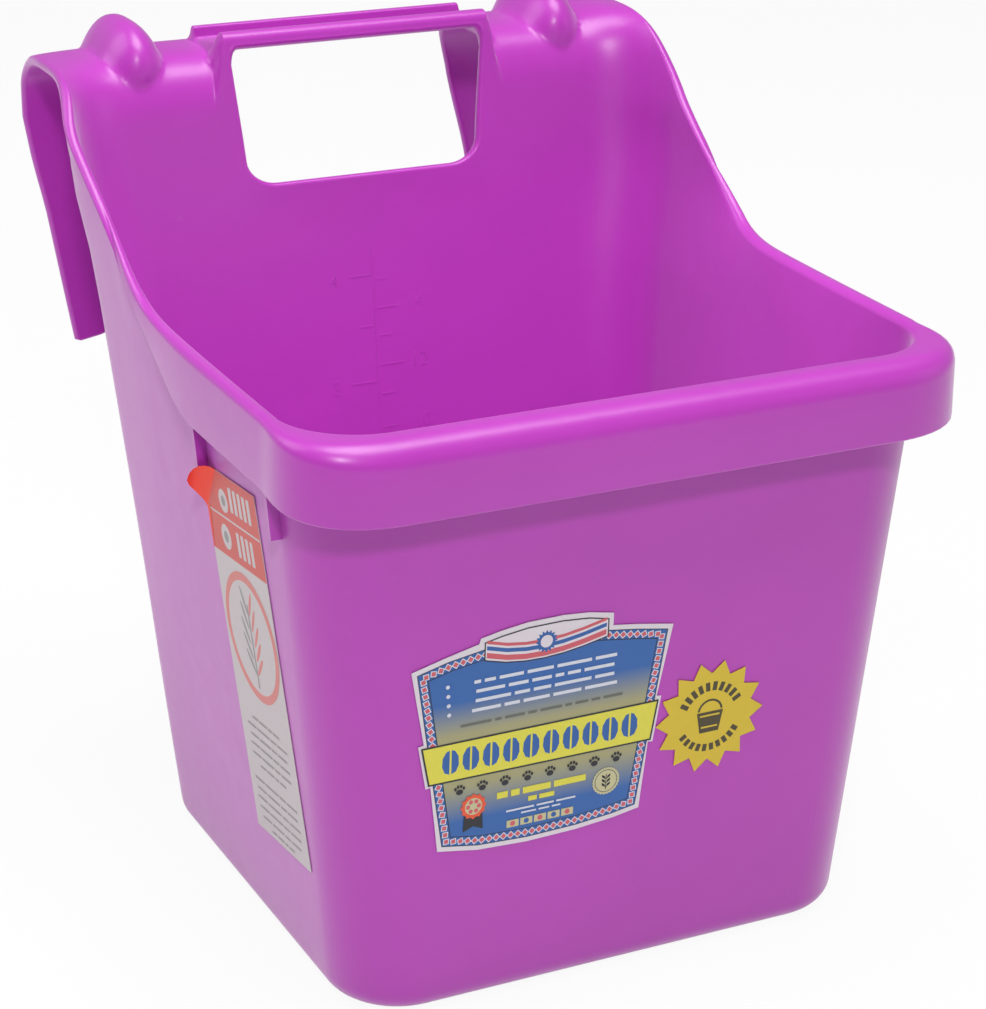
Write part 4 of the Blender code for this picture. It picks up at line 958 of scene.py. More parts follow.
    def handle_under(self, h):
        """Section of the post and web's under skin on a row, as (y, z)."""
        tops = [np.array(self.handle_top(i, self.rows[i])) for i in range(self.rib + 1)]
        share = path_shares(tops)[h]
        start = self.rows[0][1] if self.rows[0][0] == "rise" else self.s.arch_centre_height
        front = self.wall_face(start) + self.s.hook_wall
        under = self.s.bar_top_height - WEB_UNDER_DROP
        knee = self.wall_face(under) + self.s.hook_wall
        corners = [(front, start), (knee, under), (self.s.rib_front_y + RIB_DEPTH, under)]
        curve = rounded(corners, [UNDER_CORNER_ROUND], [UNDER_CORNER_SPANS])
        path = [np.array(corners[0])] + curve + [np.array(corners[-1])]
        return along(path, share)

    def set_window_bar(self):
        """The bar, trough and rib across the window."""
        shares = path_shares(self.handle)
        start = self.s.hook_start_height
        window = self.window_half_width(start) / self.back_run(start)
        front = self.wall_face(self.s.bar_bottom_height) + self.s.hook_wall
        for k in range(self.inner + 1, self.last + 1):
            for h in range(self.bar, self.rib + 1):
                j = self.floor_rows + 1 + h
                edge = self.top[self.inner, j][0]
                x = edge * self.stations[k][1] / window
                past = min(WINDOW_UPPER_ROUND, max(0, x - (edge - WINDOW_UPPER_ROUND)))
                fall = WINDOW_UPPER_ROUND - sqrt(WINDOW_UPPER_ROUND**2 - past * past)
                if h == self.bar:
                    z = self.s.bar_bottom_height - fall
                    self.top[k, j] = np.array((x, self.wall_face(z), z))
                    share = 0
                else:
                    self.top[k, j] = np.array((x, *self.handle[h - self.bar - 1]))
                    share = shares[h - self.bar - 1]
                y = lerp(front, self.s.rib_front_y + RIB_DEPTH, share)
                z = self.s.bar_top_height - lerp(WEB_UNDER_FRONT_DROP, WEB_UNDER_DROP, share)
                weight = fall / WINDOW_UPPER_ROUND
                side = self.under[self.inner, j]
                self.under[k, j] = lerp(np.array((x, y, z)), np.array((x, side[1], side[2])), weight)

    def set_bands(self):
        """The two edge loops of the half skin, each with its rounded band."""
        base = self.floor_rows
        end = base + len(self.rows)
        bar = base + 1 + self.bar
        rib = base + 1 + self.rib
        rim = [(k, base) for k in range(self.outer + 1)]
        rim += [(self.outer, j) for j in range(base + 1, end)]
        rim += [(k, end) for k in range(self.outer, self.inner + 1)]
        rim += [(self.inner, j) for j in range(end - 1, rib - 1, -1)]
        rim += [(k, rib) for k in range(self.inner + 1, self.last + 1)]
        window = [(k, bar) for k in range(self.last, self.inner, -1)]
        window += [(self.inner, j) for j in range(bar, base - 1, -1)]
        window += [(k, base) for k in range(self.inner + 1, self.last + 1)]
        self.bands = [(keys, self.band(keys)) for keys in (rim, window)]

    def band(self, keys):
        """The points between the two skins along an edge, one list for each key."""
        bands = []
        for i, key in enumerate(keys):
            before = self.top[keys[max(i - 1, 0)]]
            after = self.top[keys[min(i + 1, len(keys) - 1)]]
            along_edge = unit(after - before)
            if i in (0, len(keys) - 1):
                along_edge = np.array((np.sign(along_edge[0]), 0.0, 0.0))
            if key[0] < self.outer and key[1] == self.floor_rows:
                bands.append(self.edges[key[0]][1:-1])
                continue
            start = self.top[key]
            end = self.under[key]
            out = unit(np.cross(end - start, along_edge))
            bands.append(round_edge(start, end, out)[1:-1])
        return bands

    def build(self, name):
        """The whole moulding as a mesh: the half skin, its mirror image and the join."""
        bm = bmesh.new()
        verts = {}
        for side, grid in (("top", self.top), ("under", self.under)):
            for key, place in grid.items():
                verts[side, key] = bm.verts.new(place)
        for side in ("top", "under"):
            grid = self.top if side == "top" else self.under
            for (k, j) in grid:
                ring = [(k, j), (k, j + 1), (k + 1, j + 1), (k + 1, j)]
                if all(key in grid for key in ring):
                    order = ring if side == "top" else ring[::-1]
                    bm.faces.new([verts[side, key] for key in order])
            floor = [verts[side, (k, 0)] for k in range(self.last + 1)]
            bm.faces.new(floor if side == "top" else floor[::-1])
        for keys, band in self.bands:
            strips = []
            for key, points in zip(keys, band):
                middle = [bm.verts.new(p) for p in points]
                strips.append([verts["top", key]] + middle + [verts["under", key]])
            for a, b in zip(strips, strips[1:]):
                for i in range(len(a) - 1):
                    bm.faces.new((a[i], a[i + 1], b[i + 1], b[i]))
        for vert in bm.verts:
            if abs(vert.co.x) < TINY:
                vert.co.x = 0
        everything = bm.verts[:] + bm.edges[:] + bm.faces[:]
        bmesh.ops.mirror(bm, geom=everything, axis="X", merge_dist=TINY)
        bmesh.ops.remove_doubles(bm, verts=bm.verts, dist=TINY)
        bmesh.ops.recalc_face_normals(bm, faces=bm.faces)
        return finish_mesh(bm, name)

    def fins_mesh(self):
        """The four fins that carry the side skirts, each sunk into the wall and the skirt."""
        bm = bmesh.new()
        for side in (-1, 1):
            for y in (FIN_FRONT_Y, FIN_BACK_Y):
                outline = []
                for z in (FIN_BOTTOM_HEIGHT, FIN_TOP_HEIGHT):
                    wall = self.tub_half_width(z)
                    outline += [(wall - FIN_SINK, z), (wall + FIN_REACH, z)]
                outline = [outline[0], outline[1], outline[3], outline[2]]
                ends = [[(side * x, y + v, z) for x, z in outline] for v in (-FIN_HALF, FIN_HALF)]
                prism(bm, *ends)
        return finish_mesh(bm, "fins")


def prism(bm, lower, upper):
    """A closed solid between two outlines with as many points."""
    below = [bm.verts.new(p) for p in lower]
    above = [bm.verts.new(p) for p in upper]
    bm.faces.new(below)
    bm.faces.new(above[::-1])
    for i in range(len(below)):
        j = (i + 1) % len(below)
        bm.faces.new((below[j], below[i], above[i], above[j]))
    bmesh.ops.recalc_face_normals(bm, faces=bm.faces)


def finish_mesh(bm, name):
    """The faces so far, as a mesh of this name."""
    mesh = bpy.data.meshes.new(name)
    bm.to_mesh(mesh)
    bm.free()
    return mesh


def add_node(tree, kind, settings=None, links=None, values=None):
    """A node with its settings, its input values and the sockets that feed it."""
    node = tree.nodes.new(kind)
    for name, value in (settings or {}).items():
        setattr(node, name, value)
    for name, value in (values or {}).items():
        node.inputs[name].default_value = value
    for name, socket in (links or {}).items():
        tree.links.new(socket, node.inputs[name])
    return node


def add_noise(tree, place, size, **values):
    """The strength of a noise whose pattern has this size."""
    values["Scale"] = 1 / size
    return add_node(tree, "ShaderNodeTexNoise", links={"Vector": place}, values=values).outputs["Fac"]


def start_material(name):
    """A new material, its nodes and its shader."""
    material = bpy.data.materials.new(name)
    material.use_nodes = True
    tree = material.node_tree
    return material, tree, tree.nodes["Principled BSDF"]


def make_polyethylene(colours):
    """Polyethylene, injection-moulded: clouded pigment under a waxy satin skin with fine scuffs."""
    material, tree, shader = start_material("polyethylene_moulded")
    place = add_node(tree, "ShaderNodeTexCoord").outputs["Object"]
    cloud = add_noise(tree, place, CLOUD_SIZE, Detail=3.0, Distortion=0.6)
    tone = add_node(tree, "ShaderNodeMix", {"data_type": "RGBA"}, {"Factor": cloud})
    tone.inputs["A"].default_value = colours.plastic
    tone.inputs["B"].default_value = colours.plastic_deep
    # Rubbed specks, pale and a little rougher than the skin round them
    speck = add_noise(tree, place, SCUFF_SIZE, Detail=8.0, Roughness=0.7)
    rub = add_node(
        tree, "ShaderNodeMapRange", links={"Value": speck},
        values={"From Min": 0.64, "From Max": 0.80, "To Max": 0.16}).outputs["Result"]
    skin = add_node(
        tree, "ShaderNodeMix", {"data_type": "RGBA"}, {"Factor": rub, "A": tone.outputs["Result"]})
    skin.inputs["B"].default_value = colours.scuff
    rough = add_node(
        tree, "ShaderNodeMapRange", links={"Value": speck}, values={"To Min": 0.285, "To Max": 0.40})
    # The faint orange peel of a moulded face, and slow waves under it
    peel = add_noise(tree, place, PEEL_SIZE, Detail=2.0)
    wave = add_noise(tree, place, WAVE_SIZE, Detail=1.0)
    fine = add_node(
        tree, "ShaderNodeBump", links={"Height": peel}, values={"Strength": 0.06, "Distance": 0.0004})
    broad = add_node(
        tree, "ShaderNodeBump", links={"Height": wave, "Normal": fine.outputs["Normal"]},
        values={"Strength": 0.10, "Distance": 0.002})
    tree.links.new(skin.outputs["Result"], shader.inputs["Base Color"])
    tree.links.new(rough.outputs["Result"], shader.inputs["Roughness"])
    tree.links.new(broad.outputs["Normal"], shader.inputs["Normal"])
    shader.inputs["IOR"].default_value = 1.56
    shader.inputs["Sheen Weight"].default_value = 0.32
    shader.inputs["Sheen Roughness"].default_value = 0.45
    return material


def disc(x, y, r, squash=1.0, count=28):
    """A round outline, or an oval one when it is squashed in height."""
    turns = [2 * pi * i / count for i in range(count)]
    return [(x + r * cos(t), y + r * squash * sin(t)) for t in turns]


def box(x, y, width, height):
    """An upright rectangle round its middle."""
    w = width / 2
    h = height / 2
    return [(x - w, y - h), (x + w, y - h), (x + w, y + h), (x - w, y + h)]


def moved(outline, x, y):
    return [(x + u, y + v) for u, v in outline]


def lozenge(width, height):
    return [(-width / 2, 0), (0, -height / 2), (width / 2, 0), (0, height / 2)]


def burst(points, radius, inner_share):
    """A star outline with its first point to the right."""
    radii = (radius, radius * inner_share)
    turns = [(pi * i / points, radii[i % 2]) for i in range(2 * points)]
    return [(r * cos(t), r * sin(t)) for t, r in turns]


def arc(radius, start, end, count):
    """Points on an arc between two angles in degrees."""
    turns = [radians(lerp(start, end, i / (count - 1))) for i in range(count)]
    return [(radius * cos(t), radius * sin(t)) for t in turns]


def words(lengths, height, gap, middle, y):
    """A row of plain bars of these lengths, centred on the middle."""
    x = middle - (sum(lengths) + gap * (len(lengths) - 1)) / 2
    bars = []
    for width in lengths:
        bars.append(box(x + width / 2, y, width, height))
        x += width + gap
    return bars


def inset(outline, gap):
    """A closed outline, wound against the clock, moved inwards by a gap."""
    moved = []
    for i, here in enumerate(outline):
        here = np.array(here, float)
        before = unit(here - np.array(outline[i - 1]))
        after = unit(np.array(outline[(i + 1) % len(outline)]) - here)
        sides = [np.array((-v[1], v[0])) for v in (before, after)]
        middle = unit(sides[0] + sides[1])
        moved.append(here + middle * gap / (middle @ sides[0]))
    return moved


def flat_mesh(outlines, lift=0.0):
    """Faces in the drawing plane, one for each outline in millimetres."""
    bm = bmesh.new()
    for outline in outlines:
        face = bm.faces.new([bm.verts.new((x * MM, y * MM, lift)) for x, y in outline])
        face.normal_update()
        if face.normal.z < 0:
            face.normal_flip()
    return finish_mesh(bm, "drawing")


def get_repeater():
    """The Geometry Nodes tree that sets turned copies of a shape along a path."""
    tree = bpy.data.node_groups.get("repeat_along_path")
    if tree:
        return tree
    tree = bpy.data.node_groups.new("repeat_along_path", "GeometryNodeTree")
    for name, kind in (("Path", "Geometry"), ("Shape", "Object"), ("Count", "Int"), ("Ink", "Material")):
        tree.interface.new_socket(name, in_out="INPUT", socket_type="NodeSocket" + kind)
    tree.interface.new_socket("Copies", in_out="OUTPUT", socket_type="NodeSocketGeometry")
    start = add_node(tree, "NodeGroupInput").outputs
    curve = add_node(tree, "GeometryNodeMeshToCurve", links={"Mesh": start["Path"]}).outputs["Curve"]
    places = add_node(
        tree, "GeometryNodeCurveToPoints", {"mode": "COUNT"},
        {"Curve": curve, "Count": start["Count"]}).outputs
    turn = add_node(
        tree, "FunctionNodeAlignRotationToVector", {"axis": "X", "pivot_axis": "Z"},
        {"Vector": places["Tangent"]}).outputs["Rotation"]
    shape = add_node(tree, "GeometryNodeObjectInfo", links={"Object": start["Shape"]}).outputs["Geometry"]
    copies = add_node(
        tree, "GeometryNodeInstanceOnPoints",
        links={"Points": places["Points"], "Instance": shape, "Rotation": turn}).outputs["Instances"]
    real = add_node(tree, "GeometryNodeRealizeInstances", links={"Geometry": copies}).outputs["Geometry"]
    inked = add_node(tree, "GeometryNodeSetMaterial", links={"Geometry": real, "Material": start["Ink"]})
    add_node(tree, "NodeGroupOutput", links={"Copies": inked.outputs["Geometry"]})
    return tree


def repeat_mesh(shape, path, count, ink, closed):
    """Copies of a flat shape along a path in millimetres, made real."""
    edges = [(i, i + 1) for i in range(len(path) - 1)] + ([(len(path) - 1, 0)] if closed else [])
    rail_mesh = bpy.data.meshes.new("path")
    rail_mesh.from_pydata([(x * MM, y * MM, 0) for x, y in path], edges, [])
    rail = bpy.data.objects.new("path", rail_mesh)
    stamp = bpy.data.objects.new("stamp", flat_mesh(shape))
    for item in (rail, stamp):
        bpy.context.scene.collection.objects.link(item)
    modifier = rail.modifiers.new("repeat", "NODES")
    modifier.node_group = get_repeater()
    values = {"Shape": stamp, "Count": count, "Ink": ink}
    for socket in modifier.node_group.interface.items_tree:
        if socket.in_out == "INPUT" and socket.name in values:
            modifier[socket.identifier] = values[socket.name]
    graph = bpy.context.evaluated_depsgraph_get()
    mesh = bpy.data.meshes.new_from_object(rail.evaluated_get(graph))
    for item in (rail, stamp):
        bpy.data.objects.remove(item)
    return mesh


class Sticker:
    """A film with layers of ink, drawn flat in millimetres and then laid on its wall."""

    def __init__(self, outline, film):
        self.bm = bmesh.new()
        self.inks = [get_film(film)]
        self.height = STICKER_GAP + STICKER_THICKNESS
        rings = [[(x * MM, y * MM, z) for x, y in outline] for z in (STICKER_GAP, self.height)]
        prism(self.bm, *rings)

    def add(self, mesh, ink, lift=None):
        """Lay one more mesh over the drawing, in one ink."""
        if ink not in self.inks:
            self.inks.append(ink)
        if lift is None:
            self.height += INK_LIFT
            lift = self.height
        mesh.transform(Matrix.Translation((0, 0, lift)))
        start = len(self.bm.faces)
        self.bm.from_mesh(mesh)
        self.bm.faces.ensure_lookup_table()
        for face in self.bm.faces[start:]:
            face.material_index = self.inks.index(ink)

    def draw(self, film, *outlines):
        """Outlines in one ink."""
        self.add(flat_mesh(outlines), get_film(film))

    def write(self, film, rows, middle):
        """Rows of bars in one ink: height on the label, height of a bar, gap, lengths of the bars."""
        bars = []
        for y, height, gap, lengths in rows:
            bars += words(lengths, height, gap, middle, y)
        self.draw(film, *bars)

    def repeat(self, film, shape, path, count, closed=False):
        """Copies of a shape along a path, in one ink."""
        self.add(repeat_mesh(shape, path, count, get_film(film), closed), get_film(film))

    def finish(self, name, matrix):
        """Lay the sticker on its wall, in the place of its CAD node."""
        mesh = finish_mesh(self.bm, name)
        mesh.transform(matrix)
        add_piece(name + "_printed", mesh, self.inks, name)


def get_film(name):
    """A film or ink from the list, made when it is first asked for."""
    for title, code, roughness in FILMS:
        if title == name:
            return bpy.data.materials.get(name) or make_film(title, code, roughness)


def make_film(name, code, roughness):
    """Printed film: even colour with a faint mottle from the press, and a soft even gloss."""
    material, tree, shader = start_material(name)
    place = add_node(tree, "ShaderNodeTexCoord").outputs["Object"]
    mottle = add_noise(tree, place, MOTTLE_SIZE)
    tone = add_node(tree, "ShaderNodeMix", {"data_type": "RGBA"}, {"Factor": mottle})
    tone.inputs["A"].default_value = linear(code)
    tone.inputs["B"].default_value = [v * MOTTLE_SHARE for v in linear(code)[:3]] + [1.0]
    tree.links.new(tone.outputs["Result"], shader.inputs["Base Color"])
    shader.inputs["Roughness"].default_value = roughness
    return material


def make_sky(colours):
    """Screen print on film: blue that fades to sand round the band and back to blue."""
    material, tree, shader = start_material("screen_ink_sky")
    place = add_node(tree, "ShaderNodeTexCoord").outputs["Object"]
    height = add_node(tree, "ShaderNodeSeparateXYZ", links={"Vector": place}).outputs["Z"]
    low = FRONT_LABEL_PLACE[1] + FRONT_FRAME[0][1] * MM
    high = FRONT_LABEL_PLACE[1] + FRONT_FRAME[6][1] * MM
    share = add_node(
        tree, "ShaderNodeMapRange", links={"Value": height}, values={"From Min": low, "From Max": high})
    ramp = add_node(tree, "ShaderNodeValToRGB", links={"Fac": share.outputs["Result"]})
    stops = ramp.color_ramp.elements
    stops[0].position = SKY_SHARES[0]
    stops[1].position = SKY_SHARES[-1]
    for position in SKY_SHARES[1:-1]:
        stops.new(position)
    tones = [colours.sky] + [colours.sand] * (len(SKY_SHARES) - 2) + [colours.sky]
    for stop, tone in zip(sorted(stops, key=lambda v: v.position), tones):
        stop.color = tone
    tree.links.new(ramp.outputs["Color"], shader.inputs["Base Color"])
    shader.inputs["Roughness"].default_value = SKY_ROUGHNESS
    return material


def draw_front_label(form, colours):
    """The blue label: a lozenge border, a sun crest, a yellow band of beans, paw prints and bars."""
    label = Sticker(FRONT_FILM, "vinyl_film_white")
    outer_line, blue, ring, inner_line, panel = (inset(FRONT_FRAME, gap) for gap in FRAME_INSETS)
    label.draw("screen_ink_black", outer_line)
    label.draw("screen_ink_blue", blue)
    label.repeat("screen_ink_white", [lozenge(*WHITE_LOZENGE)], ring, BORDER_COUNT, closed=True)
    label.repeat("screen_ink_red", [lozenge(*RED_LOZENGE)], ring, BORDER_COUNT, closed=True)
    label.draw("screen_ink_black", inner_line)
    label.add(flat_mesh([panel]), make_sky(colours))
    draw_crest(label)
    label.write("screen_ink_white", WHITE_ROWS, ROWS_MIDDLE)
    dots = [disc(DOTS_X + DOTS_STEP * i, row[0], 0.9) for i, row in enumerate(WHITE_ROWS)]
    label.draw("screen_ink_white", *dots)
    label.write("screen_ink_grey", GREY_ROWS, 0)
    label.draw("screen_ink_black", BAND)
    label.draw("screen_ink_yellow", inset(BAND, 0.8))
    bean = [[(x * side, y) for x, y in BEAN_HALF] for side in (-1, 1)]
    label.repeat("screen_ink_blue", bean, BEAN_ROW, BEAN_COUNT)
    paw = [disc(0, -1.1, 1.6, 0.8)] + [disc(x, y, 0.62, 1.3, 12) for x, y in PAW_TOES]
    label.repeat("screen_ink_black", paw, PAW_ROW, PAW_COUNT)
    label.write("screen_ink_yellow", YELLOW_ROWS, ROWS_MIDDLE)
    label.write("screen_ink_white", SMALL_ROWS, ROWS_MIDDLE)
    label.draw("screen_ink_cream", *[box(x, TILE_Y, 5.6, 3.4) for x in TILE_PLACES])
    label.draw("screen_ink_red", *[disc(x, TILE_Y, 1.2) for x in TILE_PLACES[::2]])
    label.draw("screen_ink_blue", *[disc(x, TILE_Y, 1.2) for x in TILE_PLACES[1::2]])
    draw_seal(label, *SEAL_PLACE)
    draw_rosette(label, *ROSETTE_PLACE)
    label.finish("front_label", form.front_frame(*FRONT_LABEL_PLACE))


def draw_crest(label):
    """The pale panel over the label's top: three hill strips and a low sun."""
    panel = CREST_FOOT + CREST_TOP
    label.draw("screen_ink_black", panel)
    label.draw("vinyl_film_white", inset(panel, 0.6))
    for ink, low, high in CREST_STRIPS:
        lower = [(x * CREST_STRIP_SHARE, y + low) for x, y in CREST_FOOT]
        upper = [(x * CREST_STRIP_SHARE, y + high) for x, y in CREST_FOOT]
        label.draw(ink, lower + upper[::-1])
    label.draw("screen_ink_blue", moved(burst(16, 5.2, 0.74), *CREST_SUN))
    label.draw("vinyl_film_white", disc(*CREST_SUN, 2.8))


def draw_seal(label, x, y):
    """A round cream seal with a notched rim and an ear of grain."""
    label.draw("screen_ink_cream", moved(burst(26, 6.6, 0.93), x, y))
    label.draw("screen_ink_grey", disc(x, y, 5.4))
    label.draw("screen_ink_cream", disc(x, y, 5.0))
    grains = []
    for i in range(3):
        for side in (-1, 1):
            grains.append([(x + side * u, y + v + GRAIN_STEP * i) for u, v in GRAIN])
    label.draw("screen_ink_black", *grains, box(x, y - 0.4, 0.4, 7.4))


def draw_rosette(label, x, y):
    """A round orange rosette with six red dots, on a dark ribbon."""
    label.draw("screen_ink_black", moved(RIBBON, x, y))
    label.draw("screen_ink_orange", moved(burst(12, 6.0, 0.86), x, y))
    label.draw("screen_ink_cream", disc(x, y, 3.9))
    turns = [i * pi / 3 for i in range(6)]
    label.draw("screen_ink_red", *[disc(x + 2.5 * cos(t), y + 2.5 * sin(t), 1.0, 1, 14) for t in turns])


def draw_burst_label(form):
    """The yellow star: a pail in dark ink between two arcs of dashes."""
    label = Sticker(burst(BURST_POINTS, BURST_RADIUS, BURST_INNER_SHARE), "vinyl_film_yellow")
    for height, radius, start, end in DASH_ROWS:
        path = arc(radius, start, end, DASH_ARC_POINTS)
        label.repeat("screen_ink_umber", [box(0, 0, DASH_WIDTH, height)], path, DASH_COUNT)
    handle = arc(6.2, 8, 172, 12) + arc(5.2, 172, 8, 12)
    label.draw("screen_ink_umber", PAIL, moved(handle, 0, PAIL_HANDLE_LIFT))
    label.draw("vinyl_film_yellow", box(0, 0.6, 9.6, 0.8), box(0, -4.8, 8.0, 0.8))
    label.finish("burst_label", form.front_frame(*BURST_PLACE))


def draw_side_label(form):
    """The tall paper label: rose header, a ring round an ear of grain, fine rows, one corner peeling."""
    w = SIDE_HALF_WIDTH
    h = SIDE_HALF_HEIGHT
    label = Sticker([(-w, -h), (w, -h), (w, h), FOLD[0], FOLD[1]], "paper_coated_pale")
    label.draw("litho_ink_rose", [(-w, HEADER_FOOT), (w, HEADER_FOOT), (w, h), FOLD[0], FOLD[1]])
    label.draw("paper_coated_pale", box(0, DIVIDER, 2 * w - 1, 0.9))
    bars = [box(x, y, 3.2, 11.0) for y, places in HEADER_BARS for x in places]
    label.draw("paper_coated_pale", *bars, *[disc(x, y, outer) for x, y, outer, _ in HEADER_RINGS])
    label.draw("litho_ink_ash", *[disc(x, y, inner) for x, y, _, inner in HEADER_RINGS])
    x, y, outer, inner = RING
    label.draw("litho_ink_pink", disc(x, y, outer, 1, RING_POINTS))
    label.draw("paper_coated_pale", disc(x, y, inner, 1, RING_POINTS))
    for side, ink in ((-1, "litho_ink_ash"), (1, "litho_ink_pink")):
        path = [(x + side * u, y + v) for u, v in EAR_PATH]
        grain = [(v * side - u * 0.9, side * u * 0.5 - v * 1.2) for u, v in disc(0, 0, 5.4, 0.46, 16)]
        label.repeat(ink, [grain], path, EAR_COUNT)
    label.draw("litho_ink_ash", box(x, y - 4, 1.6, 38))
    rows = [(height, 0.9, 1.4, [width * v for v in NOTE_SHARES]) for height, width in NOTES]
    label.write("litho_ink_ash", rows, NOTE_MIDDLE)
    # The header's edge below the fold, where the paper begins to lift: drawn flat, with a painted highlight
    # in a brighter red
    label.draw("painted_highlight_red", moved(PAINTED_LIFT_HIGHLIGHT, -w, 0))
    # The peeled corner's curl in the same brighter red: a painted highlight on top of the lamps' real light
    label.add(flap_mesh(), get_film("painted_highlight_red"), 0)
    place = form.side_frame(*SIDE_LABEL_PLACE, radians(SIDE_LABEL_TILT_DEGREES))
    label.finish("side_label", place)


def flap_mesh():
    """The label's peeled corner, curling away from the wall beyond its fold."""
    start, end = (np.array(v) for v in FOLD)
    along_fold = unit(end - start)
    across = np.array((along_fold[1], -along_fold[0]))
    reach = max(abs((np.array(v) - start) @ across) for v in FLAP_EDGE)
    bm = bmesh.new()
    skins = []
    for under in (0, STICKER_THICKNESS):
        grid = {}
        for i in range(FLAP_SPANS + 1):
            share = i / FLAP_SPANS
            edge = along(FLAP_EDGE, share)
            root = start + along_fold * ((edge - start) @ along_fold)
            for j in range(FLAP_SPANS + 1):
                place = lerp(root, edge, j / FLAP_SPANS)
                far = abs((place - start) @ across)
                lift = FLAP_LIFT * (far / reach) ** FLAP_LIFT_POWER
                back = across * far * FLAP_CURL * (far / reach) ** FLAP_CURL_POWER
                z = lift * MM + STICKER_GAP + under
                grid[i, j] = bm.verts.new(((place[0] - back[0]) * MM, (place[1] - back[1]) * MM, z))
        skins.append(grid)
    for grid in skins:
        for i in range(FLAP_SPANS):
            for j in range(FLAP_SPANS):
                bm.faces.new((grid[i, j], grid[i + 1, j], grid[i + 1, j + 1], grid[i, j + 1]))
    bmesh.ops.remove_doubles(bm, verts=bm.verts, dist=TINY)
    bmesh.ops.recalc_face_normals(bm, faces=bm.faces)
    mesh = finish_mesh(bm, "flap")
    mesh.shade_smooth()
    return mesh


def marks_mesh(form):
    """The raised volume scale on the inner back wall: a line, ticks and plain numbers."""
    bm = bmesh.new()
    x, low, high = MARK_LINE
    heights = [lerp(low, high, i / MARK_SPANS) for i in range(MARK_SPANS + 1)]
    strokes = [(x, x, bottom, top) for bottom, top in zip(heights, heights[1:])]
    strokes += [(left * MM, right * MM, height * MM, height * MM) for left, right, height in TICKS]
    for left, right, bottom, top in strokes:
        place = form.back_frame((left + right) / 2, (bottom + top) / 2)
        outline = box(0, 0, right - left + MARK_WIDTH, top - bottom + MARK_WIDTH)
        rings = [[place @ Vector((u, v, lift)) for u, v in outline] for lift in (-MARK_RISE, MARK_RISE)]
        prism(bm, *rings)
    for text, left, height in NUMBERS:
        mesh = number_mesh(text)
        mesh.transform(form.back_frame(left * MM, height * MM))
        bm.from_mesh(mesh)
    return finish_mesh(bm, "volume_marks")


def number_mesh(text):
    """A plain number in Blender's own typeface, as a thin raised body."""
    curve = bpy.data.curves.new("number", "FONT")
    curve.body = text
    curve.size = NUMBER_SIZE
    curve.extrude = MARK_RISE
    item = bpy.data.objects.new("number", curve)
    bpy.context.scene.collection.objects.link(item)
    graph = bpy.context.evaluated_depsgraph_get()
    mesh = bpy.data.meshes.new_from_object(item.evaluated_get(graph))
    bpy.data.objects.remove(item)
    return mesh


def smooth_rim_ends(mesh):
    """Even the rims out where their rolled lip turns into the hooks' edge."""
    bm = bmesh.new()
    bm.from_mesh(mesh)
    near = []
    for vert in bm.verts:
        x, y, z = vert.co
        if abs(x) > RIM_END_X and RIM_END_Y[0] < y < RIM_END_Y[1] and RIM_END_Z[0] < z < RIM_END_Z[1]:
            near.append(vert)
    for _ in range(RIM_END_PASSES):
        bmesh.ops.smooth_vert(bm, verts=near, factor=0.5, use_axis_x=True, use_axis_y=True, use_axis_z=True)
    bm.to_mesh(mesh)
    bm.free()


def set_out_of_true(mesh):
    """Move the moulding as the real one has set, with x, y and z in millimetres."""
    for vert in mesh.vertices:
        x, y, z = (v / MM for v in vert.co)
        # The left hook and the left wall lean in, and the right rim and shoulder stand out and up
        hook = LEFT_HOOK_SET * ease(*LEFT_HOOK_GROWS_X, -x) * ease(*LEFT_HOOK_GROWS_Z, z)
        wall = LEFT_WALL_SET * ease(*LEFT_WALL_GROWS_X, -x) * ease(*LEFT_WALL_GROWS_Y, y)
        wall *= ease(*LEFT_WALL_GROWS_Z, z) * (1 - ease(*LEFT_WALL_FADES_Z, z))
        rim = RIGHT_RIM_SET * ease(*RIGHT_RIM_GROWS_X, x) * ease(*RIGHT_RIM_GROWS_Y, y)
        rim *= ease(*RIGHT_RIM_GROWS_Z, z) * (1 - ease(*RIGHT_RIM_FADES_Z, z))
        rise = SHOULDER_SET * ease(*SHOULDER_GROWS_X, x) * ease(*SHOULDER_GROWS_Z, z)
        vert.co.x += (hook + wall + rim) * MM
        vert.co.z += rise * MM


def add_piece(name, mesh, materials, node):
    """A finished piece that rides on the feeder and may stand for a CAD node."""
    item = bpy.data.objects.new(name, mesh)
    bpy.context.scene.collection.objects.link(item)
    for material in materials:
        mesh.materials.append(material)
    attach(item, "root")
    if node:
        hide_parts(node)


class FEEDER_OT_moulding(bpy.types.Operator):
    """Build the tub with its lip, hooks, bar and fins"""
    bl_idname = "feeder.moulding"
    bl_label = "Moulding"

    def execute(self, context):
        form = Moulding(context.scene.feeder_sizes)
        mesh = form.build("moulding")
        smooth_rim_ends(mesh)
        purple = make_polyethylene(context.scene.feeder_colours)
        fins = bpy.data.objects.new("fins", form.fins_mesh())
        body = bpy.data.objects.new("moulding", mesh)
        for item in (fins, body):
            context.scene.collection.objects.link(item)
        join = body.modifiers.new("fins", "BOOLEAN")
        join.operation = "UNION"
        join.solver = "EXACT"
        join.object = fins
        graph = context.evaluated_depsgraph_get()
        whole = bpy.data.meshes.new_from_object(body.evaluated_get(graph))
        bpy.data.objects.remove(fins)
        bpy.data.objects.remove(body)
        set_out_of_true(whole)
        whole.shade_smooth()
        whole.set_sharp_from_angle(angle=radians(SHARP_DEGREES))
        add_piece("moulding", whole, [purple], "feeder_body")
        return {"FINISHED"}


class FEEDER_OT_marks(bpy.types.Operator):
    """Raise the volume scale on the inner back wall"""
    bl_idname = "feeder.marks"
    bl_label = "Volume marks"

    def execute(self, context):
        purple = bpy.data.materials["polyethylene_moulded"]
        mesh = marks_mesh(Form(context.scene.feeder_sizes))
        add_piece("volume_marks", mesh, [purple], None)
        return {"FINISHED"}


